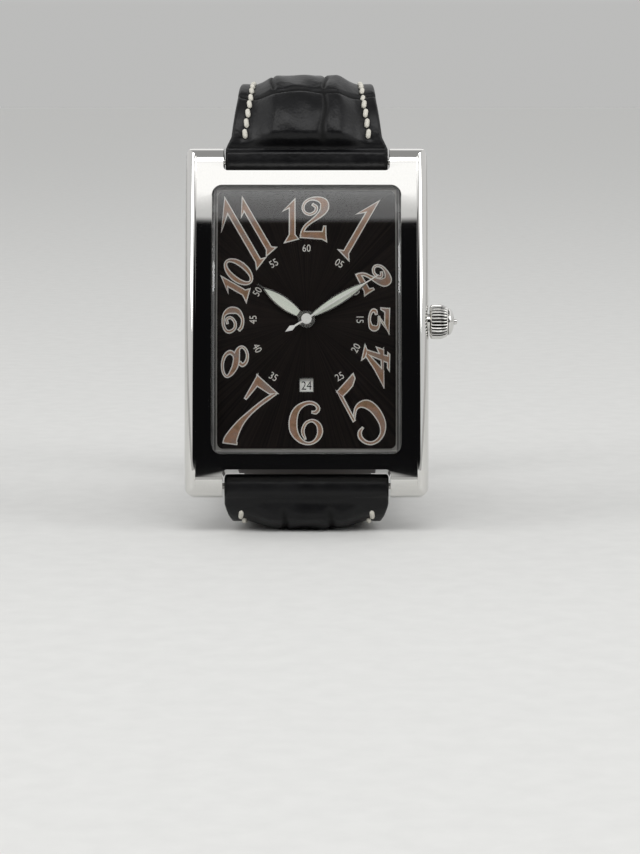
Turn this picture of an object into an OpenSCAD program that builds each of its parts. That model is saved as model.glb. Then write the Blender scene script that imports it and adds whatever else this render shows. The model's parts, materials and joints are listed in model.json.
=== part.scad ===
// A rectangular wristwatch with a quartz movement, standing on its buckled leather strap.
// Millimetres. +Z up, the dial faces -Y and leans back; the origin is on the table,
// in the middle of the strap's flat rest patch. Pieces of the watch head are drawn lying
// flat (X to 3 o'clock, Y to 12 o'clock, Z out of the dial) and stood up by head().

/* [Case] */
// Thickness of the case's side walls, from the movement's pocket to the outside
case_wall = 3.9; // [3.7:0.1:4.6]
// Length of the case beyond each end of the window
shoulder = 2; // [1.8:0.1:2.4]
// Length of the lugs beyond the case's shoulders
lug_l = 3.5; // [3.4:0.1:4.2]
// Depth of the case below the ends of its window
case_deep = 6.4; // [6.4:0.1:7.4]
// Width of the flat front beside the window
frame_w = 2.05; // [1.7:0.05:2.4]
// Radius of the lengthwise curve of the front
front_r = 140; // [120:1:180]
// Radius of the bend from the front into a lug's end, seen from the side
nose_r = 2.5; // [2.3:0.1:2.7]
// Radius of the bend from a lug's end into the back
lug_back_r = 2.2; // [2:0.1:2.4]
// Radius of the case's corners, seen from the front
case_corner_r = 1.6; // [1:0.1:2]
// Depth of the spring bars below the ends of the window
bar_deep = 4; // [3.9:0.05:4.1]
// Gap between a pair of lugs
lug_gap = 22.2; // [20.4:0.1:22.6]
// Radius in the inner corners of a lug gap
gap_corner_r = 0.6; // [0.4:0.1:1.2]

/* [Crystal and dial] */
// Width of the crystal's opening
window_w = 25.2; // [24.6:0.1:26.4]
// Length of the crystal's opening
window_l = 36; // [35:0.1:38]
// Radius of the opening's corners
window_r = 1.4; // [1:0.1:1.8]
// Thickness of the crystal
crystal_t = 1; // [0.8:0.05:1.1]
// Width of the polished edge round the crystal
crystal_bevel = 0.4; // [0.2:0.05:0.5]
// Height of the crystal over the front of the case
crystal_proud = 0.1; // [0:0.05:0.3]
// Thickness of the gasket under the crystal
gasket_t = 0.25; // [0.15:0.05:0.35]
// Width of the ledge that carries the crystal
ledge_w = 0.8; // [0.6:0.05:0.9]
// Width of the ledge that the dial lies against
dial_ledge = 0.5; // [0.4:0.05:0.6]
// Depth of the dial below the ends of the window
dial_deep = 1.45; // [1.35:0.05:1.7]
// Thickness of the dial
dial_t = 0.4; // [0.3:0.05:0.5]
// Side of the square date window
date_side = 1.75; // [1.5:0.05:1.9]
// Distance of the date window below the centre
date_v = 8.7; // [8.5:0.05:8.9]

/* [Hands] */
// Length of the hour hand
hour_l = 8; // [7:0.1:9]
// Length of the minute hand
minute_l = 11.4; // [10.5:0.1:11.5]
// Length of the second hand
second_l = 11.2; // [10:0.1:11.4]
// Length of the second hand's tail
tail_l = 3.3; // [2.8:0.1:4]
// Thickness of a hand
hand_t = 0.15; // [0.1:0.01:0.16]
// Space between one hand and the next
hand_gap = 0.15; // [0.12:0.01:0.16]
// Width of the hour hand
hour_w = 1.65; // [1.2:0.05:1.9]
// Width of the minute hand
minute_w = 1.45; // [1.1:0.05:1.7]
// Width of the steel edge round a luminous inlay
lume_edge = 0.17; // [0.1:0.01:0.2]

/* [Crown] */
// Diameter of the crown
crown_d = 4.7; // [4.2:0.1:5]
// Length of the fluted part of the crown
crown_l = 2.5; // [2.3:0.1:3]
// Number of flutes round the crown
flutes = 30; // [24:1:34]
// Travel of the crown when it is pulled out
crown_pull = 1.2; // [0.8:0.1:1.2]
// Diameter of the winding stem
stem_d = 0.9; // [0.8:0.05:1]
// Depth of the stem below the ends of the window
stem_deep = 2.9; // [2.85:0.01:2.95]

/* [Movement] */
// Diameter of the movement
movement_d = 23.2; // [23:0.1:23.6]
// Thinnest wall of the movement's holder
holder_wall = 0.7; // [0.5:0.05:0.8]
// Thickness of the main plate
plate_t = 1.7; // [1.65:0.05:1.8]
// Thickness of a wheel
wheel_t = 0.15; // [0.1:0.01:0.16]
// Thickness of the train bridge
bridge_t = 0.4; // [0.3:0.05:0.5]
// Tooth size of the rotor's mesh
rotor_module = 0.07; // [0.06:0.005:0.072]
// Tooth size of the seconds wheel's mesh
seconds_module = 0.11; // [0.105:0.005:0.115]
// Tooth size of the centre wheel's mesh
center_module = 0.07; // [0.065:0.001:0.072]
// Tooth size of the minute wheel's mesh
minute_module = 0.1; // [0.09:0.005:0.105]
// Diameter of the button cell
battery_d = 6.8; // [6:0.1:6.8]
// Height of the button cell
battery_t = 2.6; // [2.1:0.1:2.6]
// Outer diameter of the date ring
date_ring_d = 19.8; // [19.4:0.1:20]

/* [Strap] */
// Slack on each side between the strap and the lugs
strap_slack = 0.2; // [0.1:0.05:0.4]
// Width of the strap at the buckle
strap_end_w = 18; // [16:0.5:18]
// Thickness of the strap's lining
lining_t = 1; // [0.7:0.1:1.1]
// Padding of the leather at its highest
pad_high = 3.1; // [2.6:0.1:3.4]
// Padding where the strap lies on the table
pad_rest = 2.3; // [2.2:0.1:2.8]
// Thickness of the leather at the buckle
pad_end = 1.6; // [1.4:0.1:1.7]
// Thickness of the leather along its edges
edge_t = 1.3; // [1:0.1:1.4]
// Distance of the stitching from the strap's edge
stitch_in = 1.8; // [1.4:0.1:2.2]
// Radius of the leather round a spring bar
loop_r = 1.6; // [1.5:0.05:1.65]
// Diameter of a spring bar
bar_d = 1.8; // [1.6:0.05:1.8]
// Diameter of a spring bar's pin
pin_d = 0.8; // [0.6:0.05:0.9]

/* [Stand] */
// How far the dial leans back, in degrees
lean = 13.7; // [10:0.1:18]
// Radius of the strap's bend under the lower lugs
low_bend_r = 3.17; // [3:0.01:4]
// Straight strap above the upper bar
rise_l = 3.06; // [2.8:0.1:4]
// Radius of the strap's bend over the upper lugs
crest_r = 8; // [7:0.1:9]
// Slope of the strap behind its highest point, in degrees
top_slope = 20; // [15:1:25]
// Length of that slope
slope_l = 6; // [5:0.1:8]
// Radius of the bend from the slope into the straight back
shoulder_r = 7; // [6:0.1:8]
// Slope of the straight back of the strap, in degrees
back_slope = 72; // [69:1:76]
// Radius of the strap's rear bend on the table
heel_r = 8; // [7:0.1:9]

/* [Buckle] */
// Distance of the buckle's bar along the straight back
bar_at = 26; // [25:0.1:27]
// Distance from the buckle's bar to its front bar
buckle_l = 8; // [7.5:0.1:8.5]
// Diameter of the buckle's bar
buckle_bar_d = 1.6; // [1.4:0.1:1.6]
// Thickness of the buckle's frame
frame_t = 2.2; // [1.8:0.1:2.4]
// Width of a keeper along the strap
keeper_l = 5; // [4:0.1:6]
// Thickness of a keeper
keeper_t = 1.2; // [1:0.1:1.4]
// Number of holes in the strap's tail
holes = 7; // [5:1:7]
// Distance from hole to hole
hole_step = 6.5; // [6:0.1:7]

/* [Hidden] */

play = 0.05;                        // running clearance round a shaft
ease = 0.3;                         // clearance round soft pieces
steel = [0.78, 0.78, 0.79];
brass = [0.8, 0.66, 0.36];
leather = [0.06, 0.06, 0.07];

// Case: the front is part of a cylinder across the watch; its window ends lie at height 0
rehaut_w = window_w - 2 * ledge_w;
rehaut_l = window_l - 2 * ledge_w;
pocket_w = max(rehaut_w + 2 * dial_ledge, movement_d + 2 * holder_wall);
pocket_l = rehaut_l + 2 * dial_ledge;
pocket_r = 1;
front_w = window_w + 2 * frame_w;
case_w = pocket_w + 2 * case_wall;
shoulder_l = window_l + 2 * shoulder;
case_l = shoulder_l + 2 * lug_l;
crest = front_r - sqrt(front_r * front_r - window_l * window_l / 4);
arch_half = 11;
side_bevel = (case_w - front_w) / 2;
nose_turn = asin((case_l / 2 - nose_r) / (front_r - nose_r));
nose_z = crest - front_r + (front_r - nose_r) * cos(nose_turn);
crystal_gap = 0.05;
seat_deep = crystal_t + gasket_t - crystal_proud;
dial_z = -dial_deep;
back_t = 0.8;
back_lip = 0.4;
back_w = case_w - 2.4;
back_l = shoulder_l - 1.4;
back_groove_w = 0.5;
back_groove_t = 0.35;
screw_u = pocket_w / 2 + 1.3;
screw_v = pocket_l / 2 - 1;
bar_v = case_l / 2 - 1.6;
bar_z = -bar_deep;

// Hands, from the dial up
hour_z = dial_z + 0.4;
minute_z = hour_z + hand_t + hand_gap;
second_z = minute_z + hand_t + hand_gap;
hour_turn = 54;
minute_turn = -58.5;
second_turn = -58.5;

// Nested pipes at the centre
arbor_r = 0.12;
center_bore = arbor_r + play;
center_pipe = center_bore + 0.09;
cannon_pipe = center_pipe + 0.1;
hour_bore = cannon_pipe + play;
hour_pipe = hour_bore + 0.2;

// Levels of the wheels in front of the main plate, each named for its upper face
plate_top = dial_z - dial_t;
ring_t = 0.2;
ring_in = 2.45;
ring_z = plate_top - play;
date_wheel_z = ring_z - ring_t - play;
hour_wheel_z = date_wheel_z - wheel_t - play;
minute_wheel_z = hour_wheel_z - wheel_t - 0.08;
floor_z = minute_wheel_z - wheel_t - play;

// Levels of the wheels behind the main plate
plate_back = plate_top - plate_t;
level_step = 0.26;
level_1 = plate_back - 0.07;
level_2 = level_1 - level_step;
level_3 = level_2 - level_step;
level_4 = level_3 - level_step;
bridge_z = level_4 - 0.35;
pivot_r = 0.08;
staff_r = 0.12;

// Teeth and centre distances
rotor_leaves = 8;
mid_teeth = 48;
mid_leaves = 8;
seconds_teeth = 40;
seconds_leaves = 8;
third_teeth = 60;
third_leaves = 8;
center_teeth = 64;
cannon_leaves = 12;
minute_teeth = 36;
minute_leaves = 10;
hour_teeth = 40;
hour_leaves = 20;
date_teeth = 40;
ring_teeth = 31;
jumper_way = 12 * 360 / ring_teeth;
rotor_gap = (rotor_leaves + mid_teeth) * rotor_module / 2;
mid_gap = (mid_leaves + seconds_teeth) * seconds_module / 2;
third_gap = (third_leaves + center_teeth) * center_module / 2;
third_module = 2 * third_gap / (seconds_leaves + third_teeth);
minute_gap = (cannon_leaves + minute_teeth) * minute_module / 2;
hour_module = 2 * minute_gap / (minute_leaves + hour_teeth);
date_gap = 4.7;
date_module = 2 * date_gap / (hour_leaves + date_teeth);
mid_way = 100;
rotor_way = 60;
third_way = 230;
minute_way = 0;
date_way = 250;
mid_p = mid_gap * [cos(mid_way), sin(mid_way)];
rotor_p = mid_p + rotor_gap * [cos(rotor_way), sin(rotor_way)];
third_p = third_gap * [cos(third_way), sin(third_way)];
minute_p = minute_gap * [cos(minute_way), sin(minute_way)];
date_p = date_gap * [cos(date_way), sin(date_way)];

// Places on the back of the main plate
movement_r = movement_d / 2;
posts = [[-4.9, -1.6], [-3.3, 2.0], [3.7, 1.7]];
post_r = 0.65;
battery_p = [4.6, -5.6];
battery_z = bridge_z - bridge_t - 0.2;
clamp_p = [8.9, -2];
clamp_t = 0.15;
magnet_r = 0.85;
magnet_t = 0.25;
magnet_z = plate_back - 0.15;
coil_v = 8.6;
coil_r = 0.8;
coil_half = 3.9;
leg_u = 5;
leg_w = 1.2;
core_t = 0.3;
core_w = 1;
board_t = 0.2;
board_z = bridge_z - 0.05;
board_in = 6.1;
board_out = 10;
board_low = 6.2;
board_high = 6.6;
chip_side = 1.9;
chip_t = 0.35;
can_p = [-7.4, 0];
can_r = 0.75;
can_l = 5.2;
can_z = plate_back - 0.45;
foot_way = 60;
foot_r = 0.35;
foot_at = (movement_r + date_ring_d / 2) / 2;

// Setting works: the lever swings by the same angle on both sides of its middle
stem_z = -stem_deep;
stem_r = stem_d / 2;
groove_r = 0.22;
groove_l = 0.6;
lever_arm = 2.6;
lever_pin_r = 0.2;
groove_u = 7.5;
lever_turn = asin(crown_pull / 2 / lever_arm);
lever_p = [groove_u + crown_pull / 2, 0.53 + lever_arm * cos(lever_turn)];
pinion_u = 5.2;
pinion_l = 1;
square_side = 0.5;
tube_r = 1.25;
tube_out = 1.7;
crown_u = case_w / 2 + 0.2;
crown_hollow = crown_pull + 0.6;

// Places in the standing frame: [distance back from the hub, height over the table]
seat_z = pad_rest;
low_bar_h = seat_z + low_bend_r * (1 + sin(lean));
hub_z = low_bar_h + bar_v * cos(lean) - bar_z * sin(lean);
low_bar_y = -bar_v * sin(lean) - bar_z * cos(lean);
high_bar_y = bar_v * sin(lean) - bar_z * cos(lean);
high_bar_h = hub_z + bar_v * cos(lean) + bar_z * sin(lean);

// The strap's seam line is a chain of [length, turn in degrees]; a left turn is positive
function advance(p, s, turn) = turn == 0
    ? [p[0] + s * cos(p[2]), p[1] + s * sin(p[2]), p[2]]
    : let (r = s * 180 / PI / turn, h = p[2] + turn)
        [p[0] + r * (sin(h) - sin(p[2])), p[1] - r * (cos(h) - cos(p[2])), h];
function bend(r, turn) = [r * abs(turn) * PI / 180, turn];
function along(route, p, s, i = 0) = i == len(route) - 1 || s <= route[i][0]
    ? advance(p, s, route[i][1] * s / route[i][0])
    : along(route, advance(p, route[i][0], route[i][1]), s - route[i][0], i + 1);
function route_length(route, n) = n == 0 ? 0 : route[n - 1][0] + route_length(route, n - 1);
function stops(route, i = 0, from = 0) = i == len(route) ? [from]
    : let (n = max(ceil(route[i][0] / 4.5), ceil(abs(route[i][1]) / 13)))
        concat([for (k = [0:n - 1]) from + route[i][0] * k / n], stops(route, i + 1, from + route[i][0]));

// Upper half: up from its bar, over the crest, down the slope and the straight back
high_start = [high_bar_y, high_bar_h, 90 - lean];
high_bends = [[rise_l, 0], bend(crest_r, lean - 90 - top_slope), [slope_l, 0],
    bend(shoulder_r, top_slope - back_slope)];
back_top = along(high_bends, high_start, route_length(high_bends, 4));
high_route = concat(high_bends, [[bar_at, 0]]);
high_len = route_length(high_route, 5);

// Lower half: down and round onto the table, up the straight back and out over the upper half
run_n = pad_end + lining_t + 0.5;        // seam of the tail over the seam of the upper half
single_n = 0.6;                          // seam of the single strap below the buckle
jog_l = 10;
jog_turn = 2 * atan((run_n - single_n) / jog_l);
jog_r = jog_l / 2 / sin(jog_turn);
jog_at = bar_at + buckle_l + 3;
rest_y0 = low_bar_y + low_bend_r * cos(lean);
single_y = back_top[0] + single_n * sin(back_slope);
single_h = back_top[1] + single_n * cos(back_slope);
meet_y = single_y + (single_h - seat_z) / tan(back_slope);
heel_cut = heel_r * tan((180 - back_slope) / 2);
rest_y1 = meet_y - heel_cut;
climb_l = (single_h - seat_z) / sin(back_slope) - heel_cut - jog_at;
low_start = [low_bar_y, low_bar_h, -90 - lean];
low_route = [bend(low_bend_r, 90 + lean), [rest_y1 - rest_y0, 0], bend(heel_r, 180 - back_slope),
    [climb_l, 0], bend(jog_r, -jog_turn), bend(jog_r, jog_turn), [jog_at - jog_l, 0],
    bend(shoulder_r + run_n, back_slope - top_slope)];
low_len = route_length(low_route, 8);
low_climb = route_length(low_route, 3);
low_run = route_length(low_route, 6);
hub_y = -(rest_y0 + rest_y1) / 2;
tongue_hole = low_run - buckle_l / 2 + 0.6;

// Strap sections: [place along the half, value]
lug_w = lug_gap - 2 * strap_slack;
high_width = [[0, lug_w], [3, lug_w], [16.5, lug_w * 0.87], [high_len * 0.7, strap_end_w],
    [high_len, strap_end_w]];
low_width = [[0, lug_w], [6, lug_w], [20, lug_w * 0.88], [low_len * 0.5, strap_end_w],
    [low_len, strap_end_w]];
high_pad = [[0, loop_r], [rise_l, pad_high], [10, pad_high * 0.88], [16.5, pad_high * 0.74],
    [high_len * 0.55, pad_end], [high_len, pad_end]];
low_pad = [[0, loop_r], [2.4, pad_high * 0.85], [low_route[0][0], pad_rest],
    [low_route[0][0] + low_route[1][0], pad_rest], [low_climb, pad_end], [low_len, pad_end * 0.9]];
tip_l = strap_end_w / 2;
tip_steps = 8;
low_stops = concat([for (s = stops(low_route)) if (s < low_len - tip_l) s],
    [for (k = [0:tip_steps]) low_len - tip_l * (1 - sin(k * 90 / tip_steps))]);

// Spring bars and buckle
pin_shank = bar_d / 2 - 0.4;
bar_end = 1.7;
pin_reach = 5;
pin_travel = 1.05;
bar_n = 0.3;
arm_w = 1.7;
arm_u = strap_end_w / 2 + ease;
front_n = run_n + pad_end - 0.6;
front_top = front_n + frame_t / 2;
pivot_end_r = 0.45;

// Rounds the tail's tip in plan
function tip(s, total) = let (d = total - s) d >= tip_l ? 1
    : max(0.28, sqrt(1 - pow((tip_l - d) / tip_l, 2)));
// Points of the leather's section, across and outwards from the seam
function skin(w, pad, edge) = let (h = w / 2, foot = max(h - stitch_in - 0.25, h * 0.6),
        flat = h * 0.42, mid = (foot + flat) / 2, high = (pad * 0.56 + edge * 0.44))
    [[-h, 0], [-h, edge * 0.7], [-h + 0.35, edge], [-foot, edge], [-mid, high], [-flat, pad],
     [flat, pad], [mid, high], [foot, edge], [h - 0.35, edge], [h, edge * 0.7], [h, 0]];
function under(w) = [[-w / 2, -lining_t], [-w / 2, 0], [w / 2, 0], [w / 2, -lining_t]];
// One section placed in space; side is 1 where outwards is left of the way along, -1 where right
function ring_at(p, side, section) = [for (q = section)
    [q[0], p[0] - side * sin(p[2]) * q[1], p[1] + side * cos(p[2]) * q[1]]];
function lining_stops(all, from, to) = concat([from], [for (s = all) if (s > from + 0.1 && s < to - 0.1) s], [to]);

// Joins rings of equal length into one closed skin of triangles
module loft(rings, side) {
    n = len(rings[0]);
    last = len(rings) - 1;
    walls = [for (i = [0:last - 1], j = [0:n - 1], k = [0, 1]) let (
        a = i * n + j, b = i * n + (j + 1) % n, c = a + n, d = b + n)
        k == 0 ? [a, b, d] : [a, d, c]];
    ends = [[for (j = [n - 1:-1:0]) j], [for (j = [0:n - 1]) last * n + j]];
    faces = concat(walls, ends);
    polyhedron([for (r = rings, p = r) p],
        side > 0 ? [for (f = faces) [for (i = [len(f) - 1:-1:0]) f[i]]] : faces, convexity = 8);
}

// Stands the flat-drawn watch head up on the strap
module head() { translate([0, hub_y, hub_z]) rotate([90 - lean, 0, 0]) children(); }
// Places children on the strap's straight back: X across, Y down the back, Z outwards
module on_back(d) {
    translate([0, hub_y + back_top[0] + d * cos(back_slope), back_top[1] - d * sin(back_slope)])
        rotate([-back_slope, 0, 0]) children();
}
// Places children on the lower strap's seam: Y along it towards the tip, Z outwards
module on_low(s) {
    p = along(low_route, low_start, s);
    translate([0, hub_y + p[0], p[1]]) rotate([p[2] + 180, 0, 0]) mirror([0, 1, 0]) children();
}
module rod(r, x0, x1, fn = 40) { translate([x0, 0, 0]) rotate([0, 90, 0]) cylinder(r = r, h = x1 - x0, $fn = fn); }
module pipe(r, bore, z0, z1, fn = 40) {
    translate([0, 0, z0]) difference() {
        cylinder(r = r, h = z1 - z0, $fn = fn);
        translate([0, 0, -1]) cylinder(r = bore, h = z1 - z0 + 2, $fn = fn);
    }
}
module disc(r, z0, z1, fn = 40) { translate([0, 0, z0]) cylinder(r = r, h = z1 - z0, $fn = fn); }
module at(p) { translate([p[0], p[1], 0]) children(); }
// A rounded rectangle in plan
module rounded(w, l, r) {
    square([w - 2 * r, l], center = true);
    square([w, l - 2 * r], center = true);
    for (x = [-1, 1], y = [-1, 1])
        translate([x * (w / 2 - r), y * (l / 2 - r)]) circle(r = r, $fn = 48);
}
module slab(w, l, r, z0, z1) { translate([0, 0, z0]) linear_extrude(z1 - z0) rounded(w, l, r); }
// Carries a section of [across, depth] points along the curve of the front
module arched(section) {
    translate([0, 0, crest - front_r]) rotate([0, -90, 0]) rotate([0, 0, -arch_half])
        rotate_extrude(angle = 2 * arch_half, $fn = 720)
            polygon([for (p = section) [front_r + p[1], p[0]]]);
}
// Everything below the front's curve, moved by deep
module below(deep) { translate([0, 0, crest - front_r]) rod(front_r - deep, -case_w, case_w, 720); }
function both(half) = concat(half, [for (i = [len(half) - 1:-1:0]) [-half[i][0], half[i][1]]]);

// A leaf of two arcs from y0 to y1
module leaf(y0, y1, w) {
    c = (y1 - y0) / 2;
    r = (c * c + w * w / 4) / w;
    intersection() {
        translate([r - w / 2, (y0 + y1) / 2]) circle(r = r, $fn = 180);
        translate([w / 2 - r, (y0 + y1) / 2]) circle(r = r, $fn = 180);
    }
}
// A toothed outline; first is the direction of one tooth's middle
module teeth(n, m, first = 0) {
    tip_r = m * (n / 2 + 0.85);
    root_r = m * (n / 2 - 1.25);
    p = 360 / n;
    polygon([for (i = [0:n - 1], k = [[-0.31, root_r], [-0.11, tip_r], [0.11, tip_r], [0.31, root_r]])
        let (a = first + (i + k[0]) * p) k[1] * [cos(a), sin(a)]]);
}
module gear(n, m, z0, z1, bore, first = 0) {
    translate([0, 0, z0]) linear_extrude(z1 - z0) difference() {
        teeth(n, m, first);
        circle(r = bore, $fn = 32);
    }
}

module case_section() {
    bevel_deep = 2.4;
    arched(both(concat([[front_w / 2, 0]],
        [for (a = [0:10:90]) [front_w / 2 + 0.04 + (side_bevel - 0.04) * sin(a),
            -0.22 - bevel_deep * (1 - cos(a))]],
        [[case_w / 2, -case_deep - crest - 1]])));
}
module case_side() {
    rotate([90, 0, 90]) translate([0, 0, -case_w]) linear_extrude(2 * case_w) intersection() {
        union() {
            translate([nose_r - case_l / 2, nose_z]) square([case_l - 2 * nose_r, 4 - nose_z]);
            hull() for (s = [-1, 1]) {
                translate([s * (case_l / 2 - nose_r), nose_z]) circle(r = nose_r, $fn = 96);
                translate([s * (case_l / 2 - lug_back_r - 0.3), lug_back_r - case_deep])
                    circle(r = lug_back_r, $fn = 96);
            }
        }
        translate([-case_l, -case_deep]) square([2 * case_l, case_deep + 4]);
    }
}
module case_body() {
    color(steel) head() difference() {
        intersection() {
            case_section();
            case_side();
            slab(case_w + 0.02, case_l + 0.01, case_corner_r, -case_deep - 1, 4);
            rotate([90, 0, 0]) translate([0, 0, -case_l]) linear_extrude(2 * case_l)
                polygon(both([[case_w / 2 - 0.8, -case_deep], [case_w / 2, -case_deep + 0.8], [case_w / 2, 4]]));
        }
        difference() {
            slab(window_w, window_l, window_r, -3, 4);
            below(seat_deep);
        }
        slab(rehaut_w, rehaut_l, window_r - 0.6, dial_z - 1, 4);
        slab(pocket_w, pocket_l, pocket_r, -case_deep - 1, dial_z);
        slab(pocket_w + 2 * back_groove_w, pocket_l + 2 * back_groove_w, pocket_r + back_groove_w,
            -case_deep - 1, -case_deep + back_groove_t);
        for (s = [-1, 1]) {
            translate([0, s * (shoulder_l / 2 + lug_l), 0]) slab(lug_gap, 2 * lug_l, gap_corner_r, -case_deep - 1, 4);
            translate([0, s * bar_v, bar_z]) rod(pin_d / 2 + play, -lug_gap / 2 - 1.3, lug_gap / 2 + 1.3);
        }
        translate([0, 0, stem_z]) {
            rod(tube_r, pocket_w / 2 - 1, case_w / 2 + 1);
            rod(crown_d / 2 + 0.3, case_w / 2 - 0.2, case_w / 2 + 1, 64);
        }
        for (x = [-1, 1], y = [-1, 1])
            translate([x * screw_u, y * screw_v, 0]) disc(0.5, -case_deep - 1, -case_deep + 2.2);
    }
}
module crystal() {
    top = crystal_proud;
    side = window_w / 2 - crystal_gap;
    end = window_l / 2 - crystal_gap;
    past = 0.3;
    color([0.75, 0.85, 0.88, 0.35]) head() intersection() {
        arched(both([[side - crystal_bevel, top], [side + past, top - (crystal_bevel + past) * 0.7],
            [side + past, top - crystal_t]]));
        slab(2 * side, 2 * end, window_r - crystal_gap, -3, 4);
        rotate([90, 0, 90]) translate([0, 0, -case_w]) linear_extrude(2 * case_w)
            polygon(both([[0, -3], [end + past, -3], [end + past, top - (crystal_bevel + past) * 0.7],
                [end - crystal_bevel, top], [end - crystal_bevel - 2, top + 1.4], [0, top + 1.4]]));
    }
}
module crystal_gasket() {
    top = crystal_proud - crystal_t;
    color("white") head() intersection() {
        arched(both([[window_w / 2, top], [window_w / 2, top - gasket_t]]));
        difference() {
            slab(window_w - 2 * crystal_gap, window_l - 2 * crystal_gap, window_r - crystal_gap, -3, 4);
            slab(rehaut_w, rehaut_l, window_r - 0.6, -4, 5);
        }
    }
}
module dial() {
    color([0.05, 0.045, 0.04]) head() {
        difference() {
            slab(rehaut_w + 2 * dial_ledge - 0.1, rehaut_l + 2 * dial_ledge - 0.1, pocket_r - 0.05,
                dial_z - dial_t, dial_z);
            disc(hour_pipe + 0.1, dial_z - 1, dial_z + 1);
            translate([0, -date_v, dial_z]) cube([date_side, date_side, 3], center = true);
        }
        for (s = [0, 180]) rotate([0, 0, foot_way + s]) at([foot_at, 0])
            disc(foot_r, plate_top - 0.8, plate_top);
    }
}
module case_back() {
    color(steel) head() difference() {
        union() {
            slab(back_w, back_l, 2.5, -case_deep - back_t * 0.7, -case_deep);
            slab(back_w - 1, back_l - 1, 2, -case_deep - back_t, -case_deep - back_t * 0.7);
            slab(pocket_w - 0.1, pocket_l - 0.1, pocket_r - 0.05, -case_deep, -case_deep + back_lip);
        }
        for (x = [-1, 1], y = [-1, 1]) translate([x * screw_u, y * screw_v, 0]) {
            disc(0.55, -case_deep - 2, -case_deep + 0.5);
            disc(0.95, -case_deep - 2, -case_deep - back_t + 0.35);
        }
    }
}
module case_back_gasket() {
    color("black") head() difference() {
        slab(pocket_w + 2 * back_groove_w, pocket_l + 2 * back_groove_w, pocket_r + back_groove_w,
            -case_deep, -case_deep + back_groove_t);
        slab(pocket_w, pocket_l, pocket_r, -case_deep - 1, -case_deep + 1);
    }
}
module case_back_screws() {
    color(steel) head() for (x = [-1, 1], y = [-1, 1]) translate([x * screw_u, y * screw_v, 0])
        difference() {
            union() {
                disc(0.5, -case_deep - back_t + 0.3, -case_deep + 2);
                disc(0.9, -case_deep - back_t, -case_deep - back_t + 0.35);
            }
            translate([0, 0, -case_deep - back_t]) cube([3, 0.22, 0.3], center = true);
        }
}
module crown_tube() {
    color(steel) head() translate([0, 0, stem_z]) difference() {
        rod(tube_r, pocket_w / 2, case_w / 2 + tube_out);
        rod(stem_r + play, 0, case_w);
    }
}
module crown() {
    r = crown_d / 2;
    color(steel) head() translate([crown_u, 0, stem_z]) difference() {
        intersection() {
            rotate([0, 90, 0]) linear_extrude(crown_l) polygon([for (a = [0:360 / flutes / 6:359.99])
                (r - 0.16 + 0.16 * abs(cos(a * flutes / 2))) * [cos(a), sin(a)]]);
            rotate([0, 90, 0]) rotate_extrude($fn = 96) polygon(concat([[0, 0]],
                [for (k = [0:10]) [r * (0.9 + 0.1 * sin(k * 18)), crown_l * k / 10]], [[0, crown_l]]));
        }
        rod(tube_r + 0.25, -1, crown_hollow);
        rod(stem_r, 0, crown_l - 0.3);
    }
}
module crown_cap() {
    r = crown_d / 2 * 0.78;
    color(steel) head() translate([crown_u + crown_l, 0, stem_z]) rotate([0, 90, 0])
        rotate_extrude($fn = 64) polygon(concat([[0, 0]],
            [for (a = [0:10:70]) [r * cos(a), 0.8 * sin(a)]], [[0.4, 0.8], [0.36, 1.1], [0.2, 1.2], [0, 1.2]]));
}
module crown_gasket() {
    color("black") head() translate([crown_u + crown_hollow - crown_pull - 0.5, 0, stem_z]) difference() {
        rod(tube_r + 0.25, 0, 0.4);
        rod(tube_r + play, -1, 1);
    }
}
module stem() {
    end = crown_u + crown_l - 0.3;
    color(steel) head() translate([0, 0, stem_z]) difference() {
        union() {
            rod(stem_r, pinion_u + pinion_l + 0.1, end);
            translate([pinion_u - 0.6, -square_side / 2, -square_side / 2])
                cube([pinion_l + 0.8, square_side, square_side]);
        }
        difference() {
            rod(1, groove_u - groove_l / 2, groove_u + groove_l / 2);
            rod(groove_r, groove_u - 1, groove_u + 1);
        }
    }
}
module sliding_pinion() {
    s = square_side + 0.06;
    color(steel) head() translate([0, 0, stem_z]) difference() {
        translate([pinion_u, 0, 0]) rotate([0, 90, 0]) linear_extrude(pinion_l) teeth(12, 0.105);
        translate([pinion_u - 1, -s / 2, -s / 2]) cube([pinion_l + 2, s, s]);
    }
}
module setting_lever() {
    z1 = plate_back - 0.05;
    color(steel) head() at(lever_p) rotate([0, 0, -lever_turn]) {
        translate([0, 0, z1 - 0.18]) linear_extrude(0.18) difference() {
            union() {
                circle(r = 0.75, $fn = 40);
                translate([0, -lever_arm]) circle(r = 0.4, $fn = 32);
                polygon([[-0.3, -lever_arm], [0.3, -lever_arm], [0.6, 0], [-0.6, 0]]);
                polygon([[-0.4, 0], [0.4, 0], [1.2, 1.6], [0.6, 1.8]]);
            }
            circle(r = 0.3 + play, $fn = 32);
        }
        at([0, -lever_arm]) disc(lever_pin_r, z1, stem_z + 0.3);
    }
}
module hour_hand() {
    color(steel) head() rotate([0, 0, hour_turn]) {
        translate([0, 0, hour_z]) linear_extrude(hand_t) difference() {
            union() {
                leaf(0, hour_l - 0.6, hour_w);
                translate([-0.09, hour_l - 1.6]) square([0.18, 1.6]);
                circle(r = 1.15, $fn = 48);
            }
            intersection() {
                leaf(lume_edge, hour_l - 0.6 - 3 * lume_edge, hour_w - 2 * lume_edge);
                translate([-2, 1.35]) square([4, hour_l]);
            }
            circle(r = hour_pipe, $fn = 48);
        }
    }
}
module hour_lume() {
    color([0.85, 0.9, 0.82]) head() rotate([0, 0, hour_turn]) translate([0, 0, hour_z]) linear_extrude(hand_t)
        intersection() {
            leaf(lume_edge, hour_l - 0.6 - 3 * lume_edge, hour_w - 2 * lume_edge);
            translate([-2, 1.35]) square([4, hour_l]);
        }
}
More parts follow.
